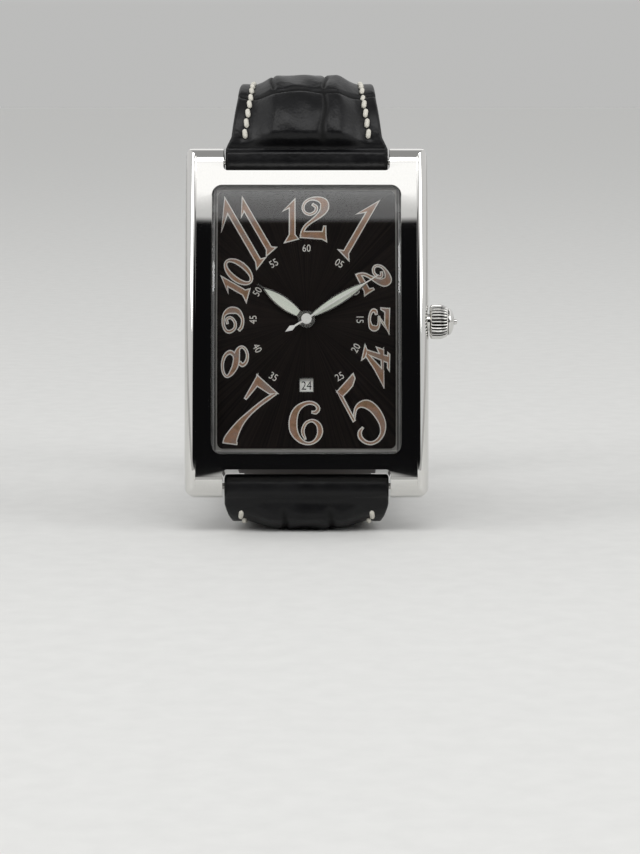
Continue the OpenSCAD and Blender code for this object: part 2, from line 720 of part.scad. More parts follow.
module minute_hand() {
    color(steel) head() rotate([0, 0, minute_turn]) {
        translate([0, 0, minute_z]) linear_extrude(hand_t) difference() {
            union() {
                leaf(0, minute_l - 1.6, minute_w);
                translate([-0.09, minute_l - 3]) square([0.18, 3]);
                circle(r = 0.95, $fn = 48);
            }
            intersection() {
                leaf(lume_edge, minute_l - 1.6 - 3 * lume_edge, minute_w - 2 * lume_edge);
                translate([-2, 1.2]) square([4, minute_l]);
            }
            circle(r = cannon_pipe, $fn = 48);
        }
    }
}
module minute_lume() {
    color([0.85, 0.9, 0.82]) head() rotate([0, 0, minute_turn]) translate([0, 0, minute_z])
        linear_extrude(hand_t) intersection() {
            leaf(lume_edge, minute_l - 1.6 - 3 * lume_edge, minute_w - 2 * lume_edge);
            translate([-2, 1.2]) square([4, minute_l]);
        }
}
module second_hand() {
    color(steel) head() rotate([0, 0, second_turn]) difference() {
        union() {
            translate([0, 0, second_z]) linear_extrude(hand_t * 0.7) {
                polygon([[-0.11, 0], [0.11, 0], [0.06, second_l], [-0.06, second_l]]);
                polygon([[-0.12, -tail_l * 0.6], [0.12, -tail_l * 0.6], [0.12, 0], [-0.12, 0]]);
                polygon([[0, -tail_l], [0.36, -tail_l * 0.72], [0.1, -tail_l * 0.55],
                    [-0.1, -tail_l * 0.55], [-0.36, -tail_l * 0.72]]);
            }
            disc(0.68, second_z, second_z + hand_t + 0.05, 48);
        }
        disc(arbor_r, second_z - 1, second_z + 0.12);
    }
}

module movement_holder() {
    color([0.85, 0.85, 0.82]) head() difference() {
        slab(pocket_w - 0.2, pocket_l - 0.2, pocket_r - 0.1, -case_deep + back_lip, plate_top);
        disc(movement_r + play, -case_deep - 1, plate_top + 1, 120);
        translate([0, 0, stem_z]) rod(stem_r + 0.2, 0, pocket_w);
    }
}
module main_plate() {
    ring_r = date_ring_d / 2;
    color([0.3, 0.3, 0.32]) head() difference() {
        union() {
            difference() {
                disc(movement_r, plate_back, plate_top, 120);
                pipe(ring_r + play, ring_r - ring_in - 0.15, ring_z - ring_t - play, plate_top + 1, 120);
                rotate([0, 0, jumper_way]) translate([ring_r - 4, -3.3, ring_z - ring_t - play])
                    cube([1.6, 3.8, 2]);
                disc(hour_teeth * hour_module / 2 + 0.25, floor_z, plate_top + 1, 60);
                at(minute_p) disc(minute_teeth * minute_module / 2 + 0.2, floor_z, plate_top + 1, 60);
                at(date_p) disc(date_teeth * date_module / 2 + 0.3, date_wheel_z - wheel_t - play, plate_top + 1, 60);
            }
            at(minute_p) disc(0.2, floor_z - 0.1, hour_wheel_z - play, 24);
            at(date_p) disc(0.25, date_wheel_z - wheel_t - 0.1, ring_z, 24);
            for (p = posts) at(p) disc(post_r, bridge_z, plate_back + 0.1);
            at(clamp_p) disc(post_r, battery_z, plate_back + 0.1);
            at(lever_p) disc(0.3, plate_back - 0.4, plate_back + 0.1);
            difference() {
                translate([0, 0, board_z]) linear_extrude(plate_back - board_z + 0.1) board_outline();
                translate([can_p[0], can_p[1], can_z]) rotate([90, 0, 0])
                    cylinder(r = can_r + play, h = can_l + 0.3, center = true, $fn = 40);
                translate([can_p[0], can_p[1], board_z]) cube([2 * can_r + 0.1, can_l + 0.3, 2 * (can_z - board_z)],
                    center = true);
            }
        }
        translate([can_p[0], can_p[1], can_z]) rotate([90, 0, 0])
            cylinder(r = can_r + play, h = can_l + 0.3, center = true, $fn = 40);
        disc(center_pipe + play, plate_back - 1, plate_top, 32);
        for (p = [mid_p, third_p, rotor_p]) at(p) disc(pivot_r + 0.04, plate_back - 1, plate_back + 0.35, 24);
        at(battery_p) disc(battery_d / 2 + 0.1, battery_z - 1, battery_z + battery_t + play, 80);
        for (p = concat(posts, [clamp_p])) at(p) disc(0.3, battery_z - 1, plate_back + 0.2, 24);
        translate([-coil_half - 0.2, coil_v - coil_r - 0.15, magnet_z - 3])
            cube([2 * coil_half + 0.4, 2 * coil_r + 0.3, 3 - magnet_t - core_t / 2 + coil_r + 0.1]);
        translate([0, 0, stem_z]) {
            rod(stem_r + play, pinion_u + pinion_l, pocket_w);
            rod(square_side, pinion_u - 0.7, pinion_u + 1);
        }
        translate([pinion_u - 0.2, -0.95, plate_back - 1])
            cube([pinion_l + 0.4, 1.9, stem_z + 0.8 - plate_back + 1]);
        translate([groove_u - 0.35, 0, plate_back - 1]) cube([crown_pull + 0.7, 0.85, stem_z + 0.35 - plate_back + 1]);
        for (s = [0, 180]) rotate([0, 0, foot_way + s]) at([foot_at, 0]) disc(foot_r + play, plate_top - 0.9, plate_top + 1);
    }
}
module board_outline() {
    cut = 2;
    polygon([[cut - board_out, -board_low], [-board_in, -board_low], [-board_in, board_high],
        [-board_in - cut * 0.65, board_high], [-board_out, board_high - 1.2 * cut], [-board_out, cut - board_low]]);
}
module circuit_board() {
    color([0.1, 0.35, 0.2]) head() translate([0, 0, board_z - board_t]) linear_extrude(board_t) board_outline();
}
module control_chip() {
    middle = (board_in + board_out) / 2;
    color("black") head() translate([-middle, 0, board_z - board_t - chip_t]) linear_extrude(chip_t)
        square(chip_side, center = true);
}
module quartz_crystal() {
    color(steel) head() translate([can_p[0], can_p[1], can_z]) rotate([90, 0, 0])
        cylinder(r = can_r, h = can_l, center = true, $fn = 40);
}
module train_bridge() {
    arms = [posts[0], third_p, posts[2], rotor_p, posts[1]];
    color(brass) head() translate([0, 0, bridge_z - bridge_t]) linear_extrude(bridge_t) difference() {
        union() {
            polygon(arms);
            for (p = arms) translate(p) circle(r = 0.9, $fn = 40);
        }
        for (p = [[0, 0], mid_p, third_p, rotor_p]) translate(p) circle(r = pivot_r + 0.04, $fn = 24);
        for (p = posts) translate(p) circle(r = 0.35, $fn = 24);
    }
}
module bridge_screws() {
    color(steel) head() for (p = posts) at(p) screw(0.6, 0.2, bridge_z - bridge_t, plate_back + 0.1);
}
// A slotted screw, head down at z
module screw(head_r, head_t, z, end) {
    difference() {
        union() {
            disc(0.3, z - head_t, end, 24);
            disc(head_r, z - head_t, z, 32);
        }
        translate([0, 0, z - head_t]) cube([2 * head_r + 1, 0.15, head_t], center = true);
    }
}
module battery() {
    color(steel) head() at(battery_p) {
        disc(battery_d / 2, battery_z, battery_z + battery_t * 0.8, 80);
        disc(battery_d / 2 - 0.35, battery_z + battery_t * 0.8, battery_z + battery_t, 80);
    }
}
module battery_clamp() {
    color(steel) head() translate([0, 0, battery_z - clamp_t]) linear_extrude(clamp_t) difference() {
        union() {
            translate(clamp_p) circle(r = 0.8, $fn = 40);
            translate(battery_p) circle(r = 1.1, $fn = 40);
            polygon([battery_p + [-0.8, 0.7], battery_p + [0.8, -0.7], clamp_p + [0.6, -0.5], clamp_p + [-0.6, 0.5]]);
        }
        translate(clamp_p) circle(r = 0.35, $fn = 24);
    }
}
module clamp_screw() { color(steel) head() at(clamp_p) screw(0.6, 0.2, battery_z - clamp_t, plate_back + 0.1); }
module stator() {
    low = magnet_z - magnet_t;
    pole_w = 2.2;
    color(steel) head() translate([0, 0, low]) linear_extrude(plate_back - low) difference() {
        union() {
            translate([0, rotor_p[1]]) square([2 * leg_u + leg_w, pole_w], center = true);
            for (s = [-1, 1]) translate([s * leg_u - leg_w / 2, rotor_p[1]]) square([leg_w, coil_v - rotor_p[1] + 0.5]);
        }
        translate(rotor_p) circle(r = magnet_r + 0.2, $fn = 40);
    }
}
module coil_core() {
    color(steel) head() translate([0, coil_v, magnet_z - magnet_t - core_t / 2])
        cube([2 * leg_u + leg_w, core_w, core_t], center = true);
}
module coil_winding() {
    color([0.75, 0.4, 0.2]) head() translate([0, coil_v, magnet_z - magnet_t - core_t / 2]) difference() {
        rod(coil_r, -coil_half, coil_half);
        cube([2 * leg_u, core_w, core_t], center = true);
    }
}
// A staff between the plate and the bridge
module staff() {
    disc(staff_r, bridge_z + 0.03, plate_back - 0.03, 24);
    disc(pivot_r, bridge_z - 0.2, plate_back + 0.2, 24);
}
module rotor() {
    color([0.2, 0.2, 0.22]) head() at(rotor_p) {
        staff();
        disc(magnet_r, magnet_z - magnet_t, magnet_z);
        gear(rotor_leaves, rotor_module, level_3 - wheel_t - 0.03, level_3 + 0.03, 0.01, rotor_way + 180);
    }
}
module intermediate_wheel() {
    color(brass) head() at(mid_p) {
        staff();
        gear(mid_teeth, rotor_module, level_3 - wheel_t, level_3, 0.01, rotor_way + 180 / mid_teeth);
        gear(mid_leaves, seconds_module, level_4 - wheel_t - 0.03, level_4 + 0.03, 0.01, mid_way + 180);
    }
}
module seconds_wheel() {
    color(brass) head() {
        disc(arbor_r, bridge_z + 0.03, second_z + 0.12, 24);
        disc(pivot_r, bridge_z - 0.2, bridge_z + 0.1, 24);
        gear(seconds_teeth, seconds_module, level_4 - wheel_t, level_4, 0.01, mid_way + 180 / seconds_teeth);
        gear(seconds_leaves, third_module, level_2 - wheel_t - 0.03, level_2 + 0.03, 0.01, third_way);
    }
}
module third_wheel() {
    color(brass) head() at(third_p) {
        staff();
        gear(third_teeth, third_module, level_2 - wheel_t, level_2, 0.01, third_way + 180 + 180 / third_teeth);
        gear(third_leaves, center_module, level_1 - wheel_t - 0.03, level_1 + 0.03, 0.01, third_way + 180);
    }
}
module center_wheel() {
    color(brass) head() {
        gear(center_teeth, center_module, level_1 - wheel_t, level_1, center_bore, third_way + 180 / center_teeth);
        pipe(center_pipe, center_bore, level_1 - 0.05, floor_z + 0.7, 32);
    }
}
module cannon_pinion() {
    color(steel) head() {
        gear(cannon_leaves, minute_module, minute_wheel_z - wheel_t, minute_wheel_z, center_pipe, minute_way);
        pipe(cannon_pipe, center_pipe, minute_wheel_z - wheel_t, minute_z + hand_t, 32);
    }
}
module minute_wheel() {
    color(brass) head() at(minute_p) {
        gear(minute_teeth, minute_module, minute_wheel_z - wheel_t, minute_wheel_z, 0.2 + play,
            minute_way + 180 + 180 / minute_teeth);
        gear(minute_leaves, hour_module, minute_wheel_z - 0.01, hour_wheel_z - 0.02, 0.2 + play, minute_way + 180);
    }
}
module hour_wheel() {
    color(brass) head() {
        gear(hour_teeth, hour_module, hour_wheel_z - wheel_t, hour_wheel_z, hour_bore, minute_way + 180 / hour_teeth);
        gear(hour_leaves, date_module, hour_wheel_z - 0.01, date_wheel_z, hour_bore, date_way);
        pipe(hour_pipe, hour_bore, date_wheel_z - 0.01, hour_z + hand_t);
    }
}
module date_driving_wheel() {
    color(brass) head() at(date_p) {
        gear(date_teeth, date_module, date_wheel_z - wheel_t, date_wheel_z, 0.25 + play,
            date_way + 180 + 180 / date_teeth);
        translate([0, 0, date_wheel_z]) linear_extrude(ring_z - date_wheel_z) difference() {
            union() {
                circle(r = 0.8, $fn = 32);
                rotate([0, 0, 160]) translate([0, -0.2]) square([date_ring_d / 2 - ring_in + 0.2 - date_gap, 0.4]);
            }
            circle(r = 0.25 + play, $fn = 32);
        }
    }
}
module date_ring() {
    r = date_ring_d / 2;
    color("white") head() translate([0, 0, ring_z - ring_t]) linear_extrude(ring_t) difference() {
        circle(r = r - play, $fn = 120);
        circle(r = r - ring_in, $fn = 120);
        for (i = [0:ring_teeth - 1]) rotate([0, 0, i * 360 / ring_teeth])
            polygon([[r - ring_in - 0.2, -0.55], [r - ring_in, -0.5], [r - ring_in + 0.35, -0.3],
                [r - ring_in + 0.35, 0.3], [r - ring_in, 0.5], [r - ring_in - 0.2, 0.55]]);
    }
}
module date_jumper() {
    r = date_ring_d / 2;
    color(steel) head() rotate([0, 0, jumper_way]) translate([0, 0, ring_z - ring_t]) linear_extrude(ring_t)
        polygon([[r - 3.9, -3.2], [r - 3.4, -3.2], [r - 2.8, -0.3], [r - 2.35, 0], [r - 3.2, 0.3]]);
}

// A spring bar's hollow tube
module spring_bar(v) {
    color(steel) head() translate([0, v, bar_z]) difference() {
        rod(bar_d / 2, bar_end - lug_gap / 2, lug_gap / 2 - bar_end);
        rod(pin_shank + play, -lug_gap, lug_gap);
    }
}
module upper_spring_bar() { spring_bar(bar_v); }
module lower_spring_bar() { spring_bar(-bar_v); }
// A sprung pin with its collar, at one end of a bar
module bar_pin(v, side) {
    e = lug_gap / 2;
    color(steel) head() translate([0, v, bar_z]) mirror([side < 0 ? 1 : 0, 0, 0]) {
        rod(pin_shank, e - pin_reach, e - 0.6);
        rod(bar_d / 2 - 0.15, e - 0.6, e - 0.3);
        rod(pin_d / 2, e - 0.3, e + 1);
    }
}
module upper_left_pin() { bar_pin(bar_v, -1); }
module upper_right_pin() { bar_pin(bar_v, 1); }
module lower_left_pin() { bar_pin(-bar_v, -1); }
module lower_right_pin() { bar_pin(-bar_v, 1); }
// The springs are drawn at their pressed length, so that the pins keep their travel
module bar_springs() {
    half = lug_gap / 2 - pin_reach - pin_travel - 0.1;
    color(steel) head() for (s = [-1, 1]) translate([0, s * bar_v, bar_z]) difference() {
        rod(pin_shank, -half, half);
        rod(pin_shank - 0.2, -half - 1, half + 1);
    }
}

module upper_strap() {
    color(leather) difference() {
        union() {
            translate([0, hub_y, 0]) loft([for (s = stops(high_route)) ring_at(along(high_route, high_start, s), 1,
                skin(lookup(s, high_width), lookup(s, high_pad), min(lookup(s, high_pad), edge_t)))], 1);
            translate([0, hub_y + high_bar_y, high_bar_h]) rod(loop_r, -lug_w / 2, lug_w / 2);
            on_back(bar_at) translate([0, 0, bar_n]) rod(buckle_bar_d / 2 + 0.75, -strap_end_w / 2, strap_end_w / 2);
        }
        translate([0, hub_y + high_bar_y, high_bar_h]) rod(bar_d / 2 + 0.1, -lug_w, lug_w);
        on_back(bar_at) {
            translate([0, 0, bar_n]) rod(buckle_bar_d / 2 + play, -strap_end_w, strap_end_w);
            translate([-1.2, -2.4, -4]) cube([2.4, 6, 8]);
        }
    }
}
module upper_strap_lining() {
    from = loop_r + 0.1;
    to = high_len - buckle_bar_d / 2 - 0.85;
    color([0.1, 0.09, 0.085]) difference() {
        translate([0, hub_y, 0]) loft([for (s = lining_stops(stops(high_route), from, to))
            ring_at(along(high_route, high_start, s), 1, under(lookup(s, high_width)))], 1);
        on_back(bar_at) translate([-1.2, -2.4, -4]) cube([2.4, 6, 8]);
    }
}
module tail_holes() {
    for (i = [0:holes - 1]) on_low(tongue_hole + (i - (holes - 1) / 2) * hole_step)
        translate([0, 0, -3]) cylinder(r = 0.8, h = 8, $fn = 24);
    on_back(bar_at) translate([-1, 0.2, 0]) cube([2, 5.8, 8]);
}
module lower_strap() {
    color(leather) difference() {
        union() {
            translate([0, hub_y, 0]) loft([for (s = low_stops) ring_at(along(low_route, low_start, s), -1,
                skin(lookup(s, low_width) * tip(s, low_len), lookup(s, low_pad), min(lookup(s, low_pad), edge_t)))], -1);
            translate([0, hub_y + low_bar_y, low_bar_h]) rod(loop_r, -lug_w / 2, lug_w / 2);
        }
        translate([0, hub_y + low_bar_y, low_bar_h]) rod(bar_d / 2 + 0.1, -lug_w, lug_w);
        tail_holes();
    }
}
module lower_strap_lining() {
    color([0.1, 0.09, 0.085]) difference() {
        translate([0, hub_y, 0]) loft([for (s = [for (s = low_stops) if (s > loop_r + 0.3) s])
            ring_at(along(low_route, low_start, s), -1, under(lookup(s, low_width) * tip(s, low_len)))], -1);
        tail_holes();
    }
}

// A keeper: a closed leather band round both thicknesses of the strap
module keeper(d) {
    w = strap_end_w + 2 * ease;
    n0 = -lining_t - ease;
    n1 = run_n + pad_end + ease;
    color(leather) on_back(d) translate([0, keeper_l / 2, (n0 + n1) / 2]) rotate([90, 0, 0])
        linear_extrude(keeper_l) difference() {
            rounded(w + 2 * keeper_t, n1 - n0 + 2 * keeper_t, 1.6);
            rounded(w, n1 - n0, 0.6);
        }
}
module fixed_keeper() { keeper(bar_at - keeper_l / 2 - 4.5); }
module free_keeper() { keeper(keeper_l / 2 + 0.6); }
module buckle_bar() {
    color(steel) on_back(bar_at) translate([0, 0, bar_n]) {
        rod(buckle_bar_d / 2, play - arm_u, arm_u - play);
        rod(pivot_end_r, -arm_u - 1.1, arm_u + 1.1);
    }
}
module buckle_frame() {
    r = frame_t / 2;
    color(steel) on_back(bar_at) difference() {
        union() {
            for (s = [0, 1]) mirror([s, 0, 0]) translate([arm_u, 0, 0]) rotate([90, 0, 90]) linear_extrude(arm_w) {
                translate([0, bar_n]) circle(r = r, $fn = 40);
                translate([buckle_l, front_n]) circle(r = r, $fn = 40);
                polygon([[0, bar_n + r], [0, bar_n - r], [buckle_l * 0.6, front_n - r - 1.2],
                    [buckle_l, front_n - r], [buckle_l, front_top], [buckle_l * 0.5, front_top - 0.5]]);
            }
            translate([0, buckle_l, front_n]) rod(r, -arm_u - 0.1, arm_u + 0.1);
        }
        translate([0, 0, bar_n]) rod(pivot_end_r + play, -arm_u - 1.2, arm_u + 1.2);
    }
}
// The tongue rises through the tail's hole and bends over to lie on the front bar
module buckle_tongue() {
    half = 0.8;
    color(steel) on_back(bar_at) rotate([90, 0, 90]) translate([0, 0, -half]) linear_extrude(2 * half)
        difference() {
            union() {
                translate([0, bar_n]) circle(r = buckle_bar_d / 2 + 0.65, $fn = 48);
                polygon([[0.9, bar_n], [1.5, 0.6], [2.2, 2], [buckle_l * 0.45, front_n - 0.2],
                    [buckle_l * 0.7, front_top - 0.45], [buckle_l, front_top + 0.02],
                    [buckle_l + 1.3, front_top - 0.15], [buckle_l + 1.4, front_top + 0.3],
                    [buckle_l, front_top + 0.85], [buckle_l * 0.61, front_top + 0.35],
                    [buckle_l * 0.32, front_n + 0.5], [1, 2.1], [0.5, 1.5]]);
            }
            translate([0, bar_n]) circle(r = buckle_bar_d / 2 + play, $fn = 48);
        }
}

case_body();
crystal();
crystal_gasket();
dial();
case_back();
case_back_gasket();
case_back_screws();
crown_tube();
crown();
crown_cap();
crown_gasket();
stem();
hour_hand();
hour_lume();
minute_hand();
minute_lume();
second_hand();
movement_holder();
main_plate();
train_bridge();
bridge_screws();
battery();
battery_clamp();
clamp_screw();
circuit_board();
control_chip();
quartz_crystal();
coil_core();
coil_winding();
stator();
rotor();
intermediate_wheel();
seconds_wheel();
third_wheel();
center_wheel();
cannon_pinion();
minute_wheel();
hour_wheel();
date_driving_wheel();
date_ring();
date_jumper();
setting_lever();
sliding_pinion();
upper_spring_bar();
lower_spring_bar();
upper_left_pin();
upper_right_pin();
lower_left_pin();
lower_right_pin();
bar_springs();
upper_strap();
upper_strap_lining();
lower_strap();
lower_strap_lining();
fixed_keeper();
free_keeper();
buckle_frame();
buckle_tongue();
buckle_bar();
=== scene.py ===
# %% [markdown]
# # A rectangular wristwatch with a quartz movement
# The watch stands on its own buckled leather strap, leaning back, and looks at the camera.
# Its construction comes as a imported model: every steel, glass and movement piece is there at
# its real size. This script gives those pieces their finishes and makes what a solid modeller
# does badly: padded and stitched leather, printed numerals and the studio round them.
# The imported model is loaded first.

# %% Load the frame
import json
import bmesh
import bpy
import numpy as np
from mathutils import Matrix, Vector, geometry


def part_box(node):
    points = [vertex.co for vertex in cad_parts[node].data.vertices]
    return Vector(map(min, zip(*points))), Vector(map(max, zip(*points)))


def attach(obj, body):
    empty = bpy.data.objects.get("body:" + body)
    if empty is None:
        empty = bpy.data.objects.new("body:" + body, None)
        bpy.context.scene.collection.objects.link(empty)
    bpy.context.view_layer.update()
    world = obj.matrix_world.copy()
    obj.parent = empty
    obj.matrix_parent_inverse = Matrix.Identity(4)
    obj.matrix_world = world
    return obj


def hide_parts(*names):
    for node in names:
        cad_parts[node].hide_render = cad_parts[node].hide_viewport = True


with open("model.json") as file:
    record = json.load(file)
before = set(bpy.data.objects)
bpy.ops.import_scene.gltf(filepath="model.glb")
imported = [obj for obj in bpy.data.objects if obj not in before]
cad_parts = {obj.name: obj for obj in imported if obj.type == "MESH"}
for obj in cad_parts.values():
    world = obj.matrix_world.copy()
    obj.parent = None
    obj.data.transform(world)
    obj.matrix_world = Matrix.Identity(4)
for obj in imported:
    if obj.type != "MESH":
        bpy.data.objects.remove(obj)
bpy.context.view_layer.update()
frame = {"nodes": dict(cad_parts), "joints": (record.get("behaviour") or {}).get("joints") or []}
nodes = frame["nodes"]
joints = {joint["name"]: joint for joint in frame["joints"]}
MM = 0.001

# %% [markdown]
# Everything on the watch head is drawn as it lies on a bench: u runs to 3 o'clock, v to
# 12 o'clock and w out of the dial, with the hands' axis at 0. The hands' joint says where
# that axis stands and how far it leans, so one function stands the head up.

# %% The head's own directions
hub = np.array(joints["seconds_turn"]["pos_m"])
into_dial = np.array(joints["seconds_turn"]["axis"])
out_w = -into_dial / np.linalg.norm(into_dial)
up_v = np.array([0.0, out_w[2], -out_w[1]])
side_u = np.array([1.0, 0.0, 0.0])
lean = float(np.degrees(np.arcsin(out_w[2])))


def on_head(u, v, w):
    """Points of the head in the model's frame: hub + u side + v up + w out, with u, v and w in
    millimetres."""
    u, v, w = np.broadcast_arrays(u, v, w)
    steps = u[..., None] * side_u + v[..., None] * up_v + w[..., None] * out_w
    return hub + MM * steps


def mesh_points(mesh):
    """A mesh's corners as one array, in metres."""
    flat = np.empty(3 * len(mesh.vertices))
    mesh.vertices.foreach_get("co", flat)
    return flat.reshape(-1, 3)


def head_height(node):
    """The highest w that a node reaches on the head, in millimetres: the largest (point - hub) . out."""
    return float(((mesh_points(nodes[node].data) - hub) @ out_w).max() / MM)


print("lean in degrees:", round(lean, 2))

# %% [markdown]
# The camera repeats the one that took the picture: a long lens, a little above the watch and
# turned down by 8 degrees. Its place was worked out from the straight edges of the case.

# %% Camera
CAMERA_PLACE = Vector((1.79, -348.36, 60.3)) * MM
CAMERA_DOWN = 8.0
LENS = 105.39

camera_data = bpy.data.cameras.new("camera")
camera_data.sensor_fit = "VERTICAL"
camera_data.sensor_height = 36
camera_data.lens = LENS
camera_data.clip_start = 0.01
camera = bpy.data.objects.new("camera", camera_data)
camera.location = CAMERA_PLACE
camera.rotation_euler = (np.radians(90 - CAMERA_DOWN), 0, 0)
bpy.context.scene.collection.objects.link(camera)
bpy.context.scene.camera = camera
print("camera", round(camera.location.length / MM), "mm from the origin")

# %% [markdown]
# Three small helpers carry the rest. One turns a colour as it is written on a screen into the
# linear numbers that Blender counts in. One adds a shader node, sets what it is told and links
# what it is given. The last starts a material from Blender's Principled surface.

# %% Colour and node helpers


def colour(code):
    """sRGB code to linear RGBA: c / 12.92 in the darkest part, else ((c + 0.055) / 1.055) to the
    power 2.4."""
    c = np.array([int(code[i:i + 2], 16) for i in (1, 3, 5)]) / 255
    linear = np.where(c <= 0.04045, c / 12.92, ((c + 0.055) / 1.055) ** 2.4)
    return (*linear.tolist(), 1.0)


def add(tree, kind, inputs=None, stops=(), **settings):
    """Adds a shader node. Inputs maps a socket to a number, a colour, an output or a node, whose
    first output is meant. Stops are a colour ramp's places and colour codes."""
    node = tree.nodes.new("ShaderNode" + kind)
    for name, value in settings.items():
        setattr(node, name, value)
    for i, (place, code) in enumerate(stops):
        stop = node.color_ramp.elements[i] if i < 2 else node.color_ramp.elements.new(place)
        stop.position, stop.color = place, colour(code)
    for socket, value in (inputs or {}).items():
        value = value.outputs[0] if isinstance(value, bpy.types.Node) else value
        if isinstance(value, bpy.types.NodeSocket):
            tree.links.new(value, node.inputs[socket])
        else:
            node.inputs[socket].default_value = value
    return node


def new_material(name, **surface):
    """A material with one Principled surface; returns it, its tree and the surface's node."""
    material = bpy.data.materials.new(name)
    material.use_nodes = True
    tree = material.node_tree
    principled = tree.nodes["Principled BSDF"]
    for socket, value in surface.items():
        principled.inputs[socket.replace("_", " ")].default_value = value
    return material, tree, principled


print("light in a screen's middle grey:", round(colour("#808080")[0], 3))

# %% [markdown]
# The watch stands on matt paper: one square that reaches far past the picture. Paper has no
# gloss and a faint fleck, so its specular is off and its grey comes from a fine noise.

# %% Floor
FLOOR_SIZE, FLECKS_PER_M = 9.0, 300.0

floor_mesh = bpy.data.meshes.new("floor")
half = FLOOR_SIZE / 2
corners = [(x * half, y * half, 0) for x, y in ((-1, -1), (1, -1), (1, 1), (-1, 1))]
floor_mesh.from_pydata(corners, [], [(0, 1, 2, 3)])
floor = bpy.data.objects.new("floor", floor_mesh)
bpy.context.scene.collection.objects.link(floor)
paper, tree, surface = new_material("matt_paper", Roughness=0.9, Specular_IOR_Level=0.0)
place = add(tree, "TexCoord").outputs["Object"]
fleck = add(tree, "TexNoise", {"Vector": place, "Scale": FLECKS_PER_M, "Detail": 3.0})
grey = add(tree, "ValToRGB", {"Fac": fleck}, stops=[(0.3, "#DFDFDD"), (0.7, "#E3E3E1")])
tree.links.new(grey.outputs["Color"], surface.inputs["Base Color"])
floor_mesh.materials.append(paper)
print("floor in m:", FLOOR_SIZE)

# %% [markdown]
# Polished steel has no colour of its own beyond a faint warmth: it shows the room. In the
# picture the front of the case is white down to the top of the dial and black below, and its
# flanks are bright. A watch photographer gets that with light walls, a white ceiling and a
# black card that stands before the watch, and the world paints just these. The card's upper
# edge stands as high as the arched front needs, and the horizon is as bright as the floor.

# %% Walls, ceiling and card
SKY_STRENGTH, CARD_BLACK = 1.35, "#0C0C0D"
# Tones over the sine of the height: 0 is the horizon and 1 is straight up
WALL_TONES = [(0.0, "#A4A4A3"), (0.028, "#A4A4A3"), (0.06, "#C4C4C4"), (0.57, "#C0C0C0"),
              (0.590, "#C4C4C4"), (0.602, "#D2D2D2"), (0.624, "#FFFFFF"), (0.668, "#FFFFFF"),
              (0.688, "#EAEAEA"), (0.706, "#FFFFFF"), (0.74, "#FFFFFF"), (0.80, "#909090"), (1.0, "#8C8C8C")]
# The card stands where both of these are white: by height, and by how far ahead of the watch
CARD_HEIGHT = [(0.024, "#000000"), (0.034, "#FFFFFF"), (0.568, "#FFFFFF"), (0.578, "#000000")]
CARD_AHEAD = [(0.70, "#000000"), (0.76, "#FFFFFF")]

world = bpy.data.worlds.new("studio")
bpy.context.scene.world = world
world.use_nodes = True
tree = world.node_tree
direction = add(tree, "SeparateXYZ", {"Vector": add(tree, "TexCoord").outputs["Generated"]})
walls = add(tree, "ValToRGB", {"Fac": direction.outputs["Z"]}, stops=WALL_TONES)
by_height = add(tree, "ValToRGB", {"Fac": direction.outputs["Z"]}, stops=CARD_HEIGHT)
ahead = add(tree, "Math", {0: direction.outputs["Y"], 1: -1.0}, operation="MULTIPLY")
by_side = add(tree, "ValToRGB", {"Fac": ahead}, stops=CARD_AHEAD)
card = add(tree, "Math", {0: by_height, 1: by_side}, operation="MULTIPLY")
sky = add(tree, "Mix", {0: card, 6: walls, 7: colour(CARD_BLACK)}, data_type="RGBA").outputs[2]
tree.links.new(sky, tree.nodes["Background"].inputs["Color"])
tree.nodes["Background"].inputs["Strength"].default_value = SKY_STRENGTH
bpy.context.scene.view_settings.view_transform = "Standard"
print("tones from horizon to zenith:", len(WALL_TONES))

# %% [markdown]
# Three soft boxes light the leather and the dial, and stand in the steel as pale panes: one
# above the card and one at each side, all turned to the dial.

# %% Soft boxes
# Name: place in metres, width and height in metres, watts
BOXES = {
    "key_box": ((0.0, -0.50, 0.72), 0.60, 0.30, 1.7),
    "left_box": ((-0.62, -0.30, 0.36), 0.30, 0.30, 1.0),
    "right_box": ((0.62, -0.30, 0.36), 0.30, 0.30, 1.0),
}
LIT_POINT = Vector((0, 0, 0.03))

for name, (place, wide, tall, watts) in BOXES.items():
    lamp_data = bpy.data.lights.new(name, "AREA")
    lamp_data.shape = "RECTANGLE"
    lamp_data.size, lamp_data.size_y = wide, tall
    lamp_data.energy = watts
    lamp = bpy.data.objects.new(name, lamp_data)
    lamp.location = place
    lamp.rotation_euler = (LIT_POINT - lamp.location).to_track_quat("-Z", "Y").to_euler()
    bpy.context.scene.collection.objects.link(lamp)
print("soft boxes:", len(BOXES))

# %% [markdown]
# Most pieces keep the shape that the construction gave them and only need a finish. A real
# surface is never even: a cloth, a brush, a lathe or a mould leaves marks on it, and they shift
# its colour, its gloss and sometimes its height. The marks are noise on Object coordinates, so
# their scale is a real size, 1 / size in metres. Real marks are finer than these, which are
# drawn as coarse as they need to be to show.

# %% Marks on a surface


def marked(tree, size, stretch=(1, 1, 1), detail=3.0):
    """Noise whose cells are size millimetres wide. A stretch of 0.1 along X, Y or Z makes them
    ten times as long that way."""
    place = add(tree, "TexCoord").outputs["Object"]
    stretched = add(tree, "Mapping", {"Vector": place, "Scale": stretch})
    noise = add(tree, "TexNoise", {"Vector": stretched, "Scale": 1 / (size * MM), "Detail": detail})
    return noise.outputs["Fac"]


